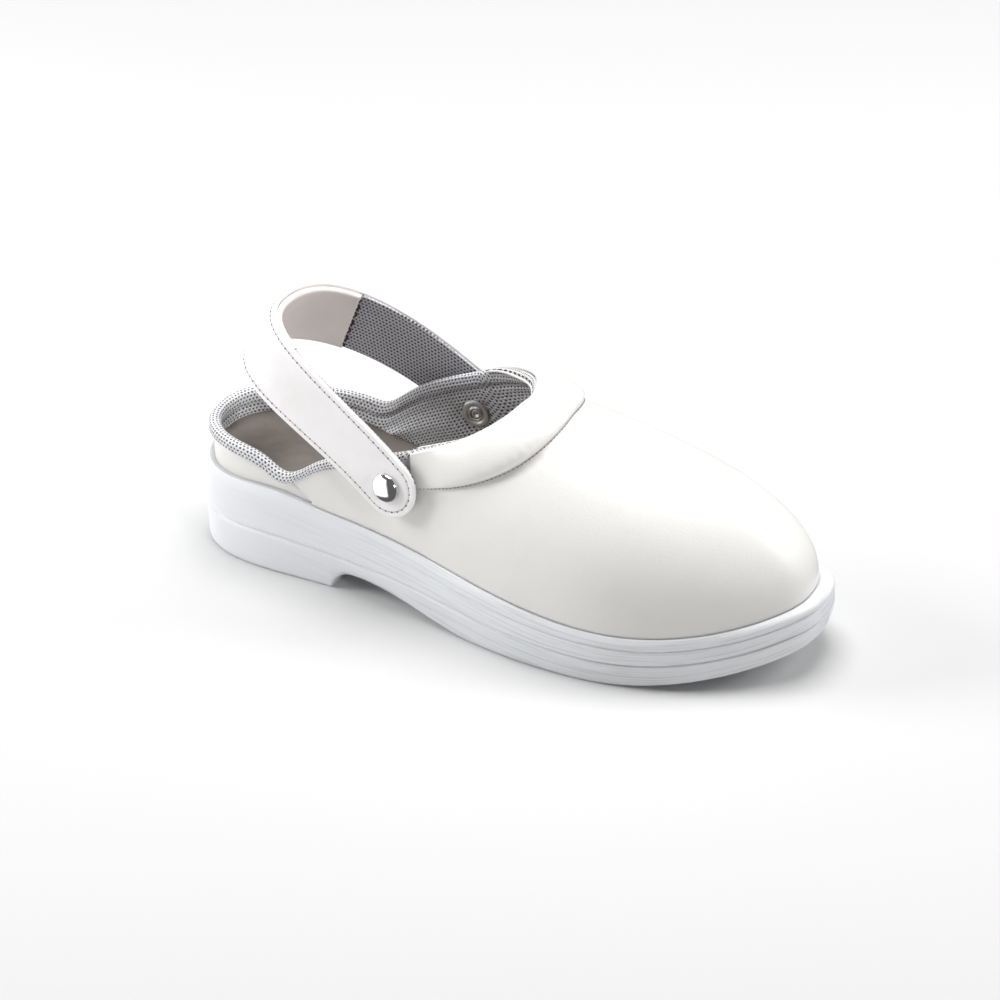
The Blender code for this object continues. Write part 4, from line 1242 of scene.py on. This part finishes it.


# Stitches along a path: one thread and one flat dot at its needle hole for each pitch, laid on the path's own
# up direction. A dark Hole material paints the hole's shade.
def stitchTree():
    tree = bpy.data.node_groups.new("stitches", "GeometryNodeTree")
    face = tree.interface
    sockets = [("Path", "Geometry")]
    sockets += [(name, "Float") for name in ("Pitch", "Long", "Wide", "Slant", "Hole size")]
    sockets += [("Seed", "Int"), ("Thread", "Material"), ("Hole", "Material")]
    for name, kind in sockets:
        face.new_socket(name, in_out="INPUT", socket_type="NodeSocket" + kind)
    face.new_socket("Stitches", in_out="OUTPUT", socket_type="NodeSocketGeometry")
    entry = tree.nodes.new("NodeGroupInput")
    given = {s.name: Wire(tree, s) for s in entry.outputs if s.name}
    curve = addNode(tree, "GeometryNodeMeshToCurve", {0: given["Path"]})
    steps = {"Curve": curve, "Length": given["Pitch"]}
    curve = addNode(tree, "GeometryNodeResampleCurve", steps, mode="LENGTH")
    up = addNode(tree, "GeometryNodeInputNamedAttribute", {"Name": "up"}, data_type="FLOAT_VECTOR")
    tangent = addNode(tree, "GeometryNodeInputTangent")
    index = addNode(tree, "GeometryNodeInputIndex")
    sway = (index.math("MODULO", 2.0) - 0.5) * given["Slant"] * 2.0
    side = addNode(tree, "ShaderNodeVectorMath", {0: tangent, 1: up}, operation="CROSS_PRODUCT")
    slanted = addNode(tree, "ShaderNodeVectorMath", {0: side, 3: sway}, operation="SCALE")
    heading = addNode(tree, "ShaderNodeVectorMath", {0: tangent, 1: slanted}, operation="ADD")
    upright = addNode(tree, "FunctionNodeAlignRotationToVector", {"Vector": up}, axis="Z")
    turned = {"Rotation": upright, "Vector": heading}
    laid = addNode(tree, "FunctionNodeAlignRotationToVector", turned, axis="X", pivot_axis="Z")
    spread = {2: 0.9, 3: 1.1, "Seed": given["Seed"]}
    chance = addNode(tree, "FunctionNodeRandomValue", spread, output=1, data_type="FLOAT")
    ball = addNode(tree, "GeometryNodeMeshUVSphere", {"Segments": 10, "Rings": 6, "Radius": 0.5})
    ball = addNode(tree, "GeometryNodeSetShadeSmooth", {"Geometry": ball})
    size = addNode(tree, "ShaderNodeCombineXYZ", {0: given["Long"], 1: given["Wide"], 2: given["Wide"] * 0.8})
    thread = addNode(tree, "GeometryNodeTransform", {"Geometry": ball, "Scale": size})
    dot = given["Hole size"]
    size = addNode(tree, "ShaderNodeCombineXYZ", {0: dot, 1: dot, 2: dot * 0.35})
    aside = addNode(tree, "ShaderNodeCombineXYZ", {0: given["Pitch"] * 0.5})
    hole = addNode(tree, "GeometryNodeTransform", {"Geometry": ball, "Scale": size, "Translation": aside})
    mark = {"Geometry": hole, "Name": "needleHole", "Value": True}
    hole = addNode(tree, "GeometryNodeStoreNamedAttribute", mark, data_type="BOOLEAN", domain="FACE")
    both = addNode(tree, "GeometryNodeJoinGeometry", {0: thread})
    tree.links.new(hole.socket, both.socket.node.inputs[0])
    scatter = {"Points": curve, "Instance": both, "Rotation": laid, "Scale": chance}
    real = addNode(tree, "GeometryNodeInstanceOnPoints", scatter)
    real = addNode(tree, "GeometryNodeRealizeInstances", {0: real})
    pierced = addNode(tree, "GeometryNodeInputNamedAttribute", {"Name": "needleHole"}, data_type="BOOLEAN")
    sewn = addNode(tree, "GeometryNodeSetMaterial", {"Geometry": real, "Material": given["Thread"]})
    holes = {"Geometry": sewn, "Selection": pierced, "Material": given["Hole"]}
    sewn = addNode(tree, "GeometryNodeSetMaterial", holes)
    leave = tree.nodes.new("NodeGroupOutput")
    tree.links.new(sewn.socket, leave.inputs[0])
    return tree


stitchGroup = stitchTree()


def sewAlong(name, points, ups, look, thread, hole, slotName, closed=False):
    count = len(points)
    edges = [(i, i + 1) for i in range(count - 1)] + ([(count - 1, 0)] if closed else [])
    mesh = bpy.data.meshes.new(name + "Path")
    moved = points - np.array([form["originAlong"] * form["length"], 0, 0])
    mesh.from_pydata(moved.tolist(), edges, [])
    layer = mesh.attributes.new("up", "FLOAT_VECTOR", "POINT")
    layer.data.foreach_set("vector", np.asarray(ups, float).reshape(-1))
    path = bpy.data.objects.new(name + "Path", mesh)
    bpy.context.scene.collection.objects.link(path)
    modifier = path.modifiers.new("stitches", "NODES")
    modifier.node_group = stitchGroup
    values = {**look, "Seed": stitchLook["seed"], "Thread": thread, "Hole": hole}
    for item in stitchGroup.interface.items_tree:
        if item.in_out == "INPUT" and item.name in values:
            modifier[item.identifier] = values[item.name]
    path.update_tag()
    bpy.context.view_layer.update()
    graph = bpy.context.evaluated_depsgraph_get()
    sewn = bpy.data.meshes.new_from_object(path.evaluated_get(graph))
    bpy.data.objects.remove(path)
    if "needleHole" in sewn.attributes:
        sewn.attributes.remove(sewn.attributes["needleHole"])
    piece = bpy.data.objects.new(name, sewn)
    bpy.context.scene.collection.objects.link(piece)
    return handIn(piece, slotName)


edgeLook = {"radius": 0.0006, "inside": 0.0014, "over": 0.0013}


# The leather's folded edge, a thin cord between the roll and the mesh.
def buildEdgeCord(madeOf):
    lateral, medial = collarEnds()
    turn = evenTurns(medial - fullTurn, lateral, 260)
    slim = edgeLook["radius"] * np.minimum(1, np.minimum(np.arange(260), np.arange(260)[::-1]) / 6)
    rings = []
    for angle in np.arange(10) * fullTurn / 10:
        down = -edgeLook["over"] - slim * math.sin(angle)
        rings.append(onCollar(turn, down, -form["upperWall"] - edgeLook["inside"] + slim * math.cos(angle)))
    cord = gridMesh("collarEdgeCord", np.stack(rings), madeOf, closedRows=True, solid=True)
    return handIn(cord, "collar_leather")


buildEdgeCord(whiteLeather)


def buildSeams():
    thread = plainMaterial("threadPale", stitchLook["thread"], 0.7)
    dark = plainMaterial("threadDark", stitchLook["dark"], 0.8)
    # Dark dots at the needle holes of the strap and the roll: painted shade.
    hole = plainMaterial("needleHole", stitchLook["hole"], 0.9)
    total = float(strapLengths()[1][-1])
    half = strapLook["thickness"] / 2
    loop = bandOutline(0.0, total, 0.0, True, True)
    along = loop[:, 0] + loop[:, 2] * strapLook["stitchIn"]
    across = loop[:, 1] + loop[:, 3] * strapLook["stitchIn"]
    level = np.full(len(along), half - strapLook["stitchGroove"] * 0.5)
    points = onStrap(along, across, level)
    ups = unit(onStrap(along, across, level + 0.001) - points)
    sewAlong("strapStitches", points, ups, stitchLook["strap"], thread, hole, "strap_leather", closed=True)
    share = strapLook["padShare"]
    for name, place in (("padSeamLateral", share), ("padSeamMedial", 1 - share)):
        reach = float(halfWidth(total * place)) - strapLook["liningInset"] - stitchLook["zigzagEnd"]
        across = np.linspace(-reach, reach, 40)
        along = np.full(40, total * place)
        level = np.full(40, -half - strapLook["liningThickness"] - 0.0009)
        points = onStrap(along, across, level)
        ups = unit(points - onStrap(along, across, level + 0.001))
        sewAlong(name, points, ups, stitchLook["zigzag"], dark, dark, "strap_mesh")
    lateral, medial = collarEnds()
    turn = evenTurns(medial - fullTurn + 0.02, lateral - 0.02, 400)
    points = onCollar(turn, rollHeight(turn) * 1.03, 0.0001)
    ups = upperNormal(turn, 0.8)
    sewAlong("rollStitches", points, ups, stitchLook["roll"], thread, hole, "collar_leather")
    points = onCollar(turn, -0.0013, -form["upperWall"] - 0.0002)
    ups = unit(points - onCollar(turn, 0.002, 0.0))
    pale = plainMaterial("threadWhite", stitchLook["pale"], 0.7)
    sewAlong("collarEdgeStitches", points, ups, stitchLook["edge"], dark, pale, "collar_leather")


buildSeams()
print("seams sewn")


stageLook = {
    "floor": (0.70, 0.70, 0.70),
    "floorReach": 6.0,
    "world": 0.14,
    "aim": (0.05, 0.0, 0.05),
    "keyPower": 17.0,
    "keySize": 0.8,
    "keyPlace": (-1.3, -0.6, 0.75),
    "rimPower": 10.0,
    "rimPlace": (1.1, 0.8, 0.8),
    "topPower": 24.0,
    "topSize": 1.2,
    "topPlace": (0.0, 0.25, 1.55),
    "topAim": (0.05, 0.0, 0.0),
    "fillPower": 80.0,
    "fillSpread": 9.0,
    "fillRadius": 0.15,
    "fillPlace": (1.3, -0.55, 0.55),
    "fillAim": (-0.02, 0.0, 0.105),
    "azimuth": 30.0,
    "elevation": 29.0,
    "distance": 2.6,
    "pixelsPerMetre": 2400.0,
    "target": (0.142, 0.0, 0.040),
    "shift": (-0.007, 0.008),
    "cardArc": (145.0, 262.0),
    "cardReach": 1.3,
    "cardHeights": (-1.3, 1.1),
    "cardGlow": 1.5,
}


def addLamp(name, kind, place, aim, power, **settings):
    data = bpy.data.lights.new(name, kind)
    data.energy = power
    for key, value in settings.items():
        setattr(data, key, value)
    lamp = bpy.data.objects.new(name, data)
    lamp.location = place
    lamp.rotation_mode = "QUATERNION"
    lamp.rotation_quaternion = (Vector(aim) - Vector(place)).to_track_quat("-Z", "Y")
    bpy.context.scene.collection.objects.link(lamp)


def addLamps():
    for name in ("key", "rim", "top"):
        wide = stageLook["topSize" if name == "top" else "keySize"]
        aim = stageLook["topAim" if name == "top" else "aim"]
        place, power = stageLook[name + "Place"], stageLook[name + "Power"]
        addLamp(name + "Light", "AREA", place, aim, power, shape="DISK", size=wide)
    # A soft narrow light from the toe side, into the opening and the back of the strap.
    place, aim, power = (stageLook[key] for key in ("fillPlace", "fillAim", "fillPower"))
    spread = {"spot_size": math.radians(stageLook["fillSpread"]), "spot_blend": 1.0}
    addLamp("fillLight", "SPOT", place, aim, power, shadow_soft_size=stageLook["fillRadius"], **spread)


# A tall curved white card at the left, which only gloss and metal see.
def buildCard():
    made = bpy.data.materials.new("whiteCard")
    made.use_nodes = True
    tree = made.node_tree
    glow = tree.nodes.new("ShaderNodeEmission")
    glow.inputs["Strength"].default_value = stageLook["cardGlow"]
    tree.links.new(glow.outputs[0], tree.nodes["Material Output"].inputs["Surface"])
    reach, turns = stageLook["cardReach"], np.radians(np.linspace(*stageLook["cardArc"], 24))
    rows = [[(reach * math.cos(a), reach * math.sin(a), z) for a in turns] for z in stageLook["cardHeights"]]
    mesh = bpy.data.meshes.new("whiteCard")
    faces = [(i, i + 1, i + 25, i + 24) for i in range(23)]
    mesh.from_pydata(rows[0] + rows[1], [], faces)
    mesh.materials.append(made)
    card = bpy.data.objects.new("whiteCard", mesh)
    card.visible_camera = False
    card.visible_diffuse = False
    card.visible_shadow = False
    bpy.context.scene.collection.objects.link(card)


def buildStage():
    made, tree, shader = newMaterial("floorWhite")
    shader.inputs["Base Color"].default_value = (*stageLook["floor"], 1.0)
    shader.inputs["Roughness"].default_value = 0.9
    shader.inputs["Specular IOR Level"].default_value = 0.1
    mesh = bpy.data.meshes.new("floor")
    reach = stageLook["floorReach"]
    corners = [(-reach, -reach, 0), (reach, -reach, 0), (reach, reach, 0), (-reach, reach, 0)]
    mesh.from_pydata(corners, [], [(0, 1, 2, 3)])
    mesh.materials.append(made)
    floor = bpy.data.objects.new("floor", mesh)
    floor.visible_glossy = False
    bpy.context.scene.collection.objects.link(floor)
    buildCard()
    world = bpy.data.worlds.new("studio")
    bpy.context.scene.world = world
    world.use_nodes = True
    # The eye sees a white backdrop, and the shoe gets only its soft share of light.
    back = world.node_tree.nodes["Background"]
    back.inputs["Color"].default_value = (1.0, 1.0, 1.0, 1.0)
    seen = addNode(world.node_tree, "ShaderNodeLightPath")
    connect(world.node_tree, back.inputs["Strength"], seen * (1 - stageLook["world"]) + stageLook["world"])
    addLamps()


def buildCamera():
    turn, lift = math.radians(stageLook["azimuth"]), math.radians(stageLook["elevation"])
    back = Vector((math.sin(turn) * math.cos(lift), -math.cos(turn) * math.cos(lift), math.sin(lift)))
    data = bpy.data.cameras.new("photoCamera")
    data.sensor_width = 36.0
    data.lens = 36.0 * stageLook["distance"] / (1000.0 / stageLook["pixelsPerMetre"])
    data.shift_x, data.shift_y = stageLook["shift"]
    data.clip_end = 50.0
    camera = bpy.data.objects.new("photoCamera", data)
    target = Vector(stageLook["target"]) - Vector((form["originAlong"] * form["length"], 0, 0))
    camera.location = target + back * stageLook["distance"]
    camera.rotation_mode = "QUATERNION"
    camera.rotation_quaternion = (-back).to_track_quat("-Z", "Y")
    bpy.context.scene.collection.objects.link(camera)
    bpy.context.scene.camera = camera


buildStage()
buildCamera()
bpy.context.scene.view_settings.view_transform = "Standard"
print("stage and camera set")
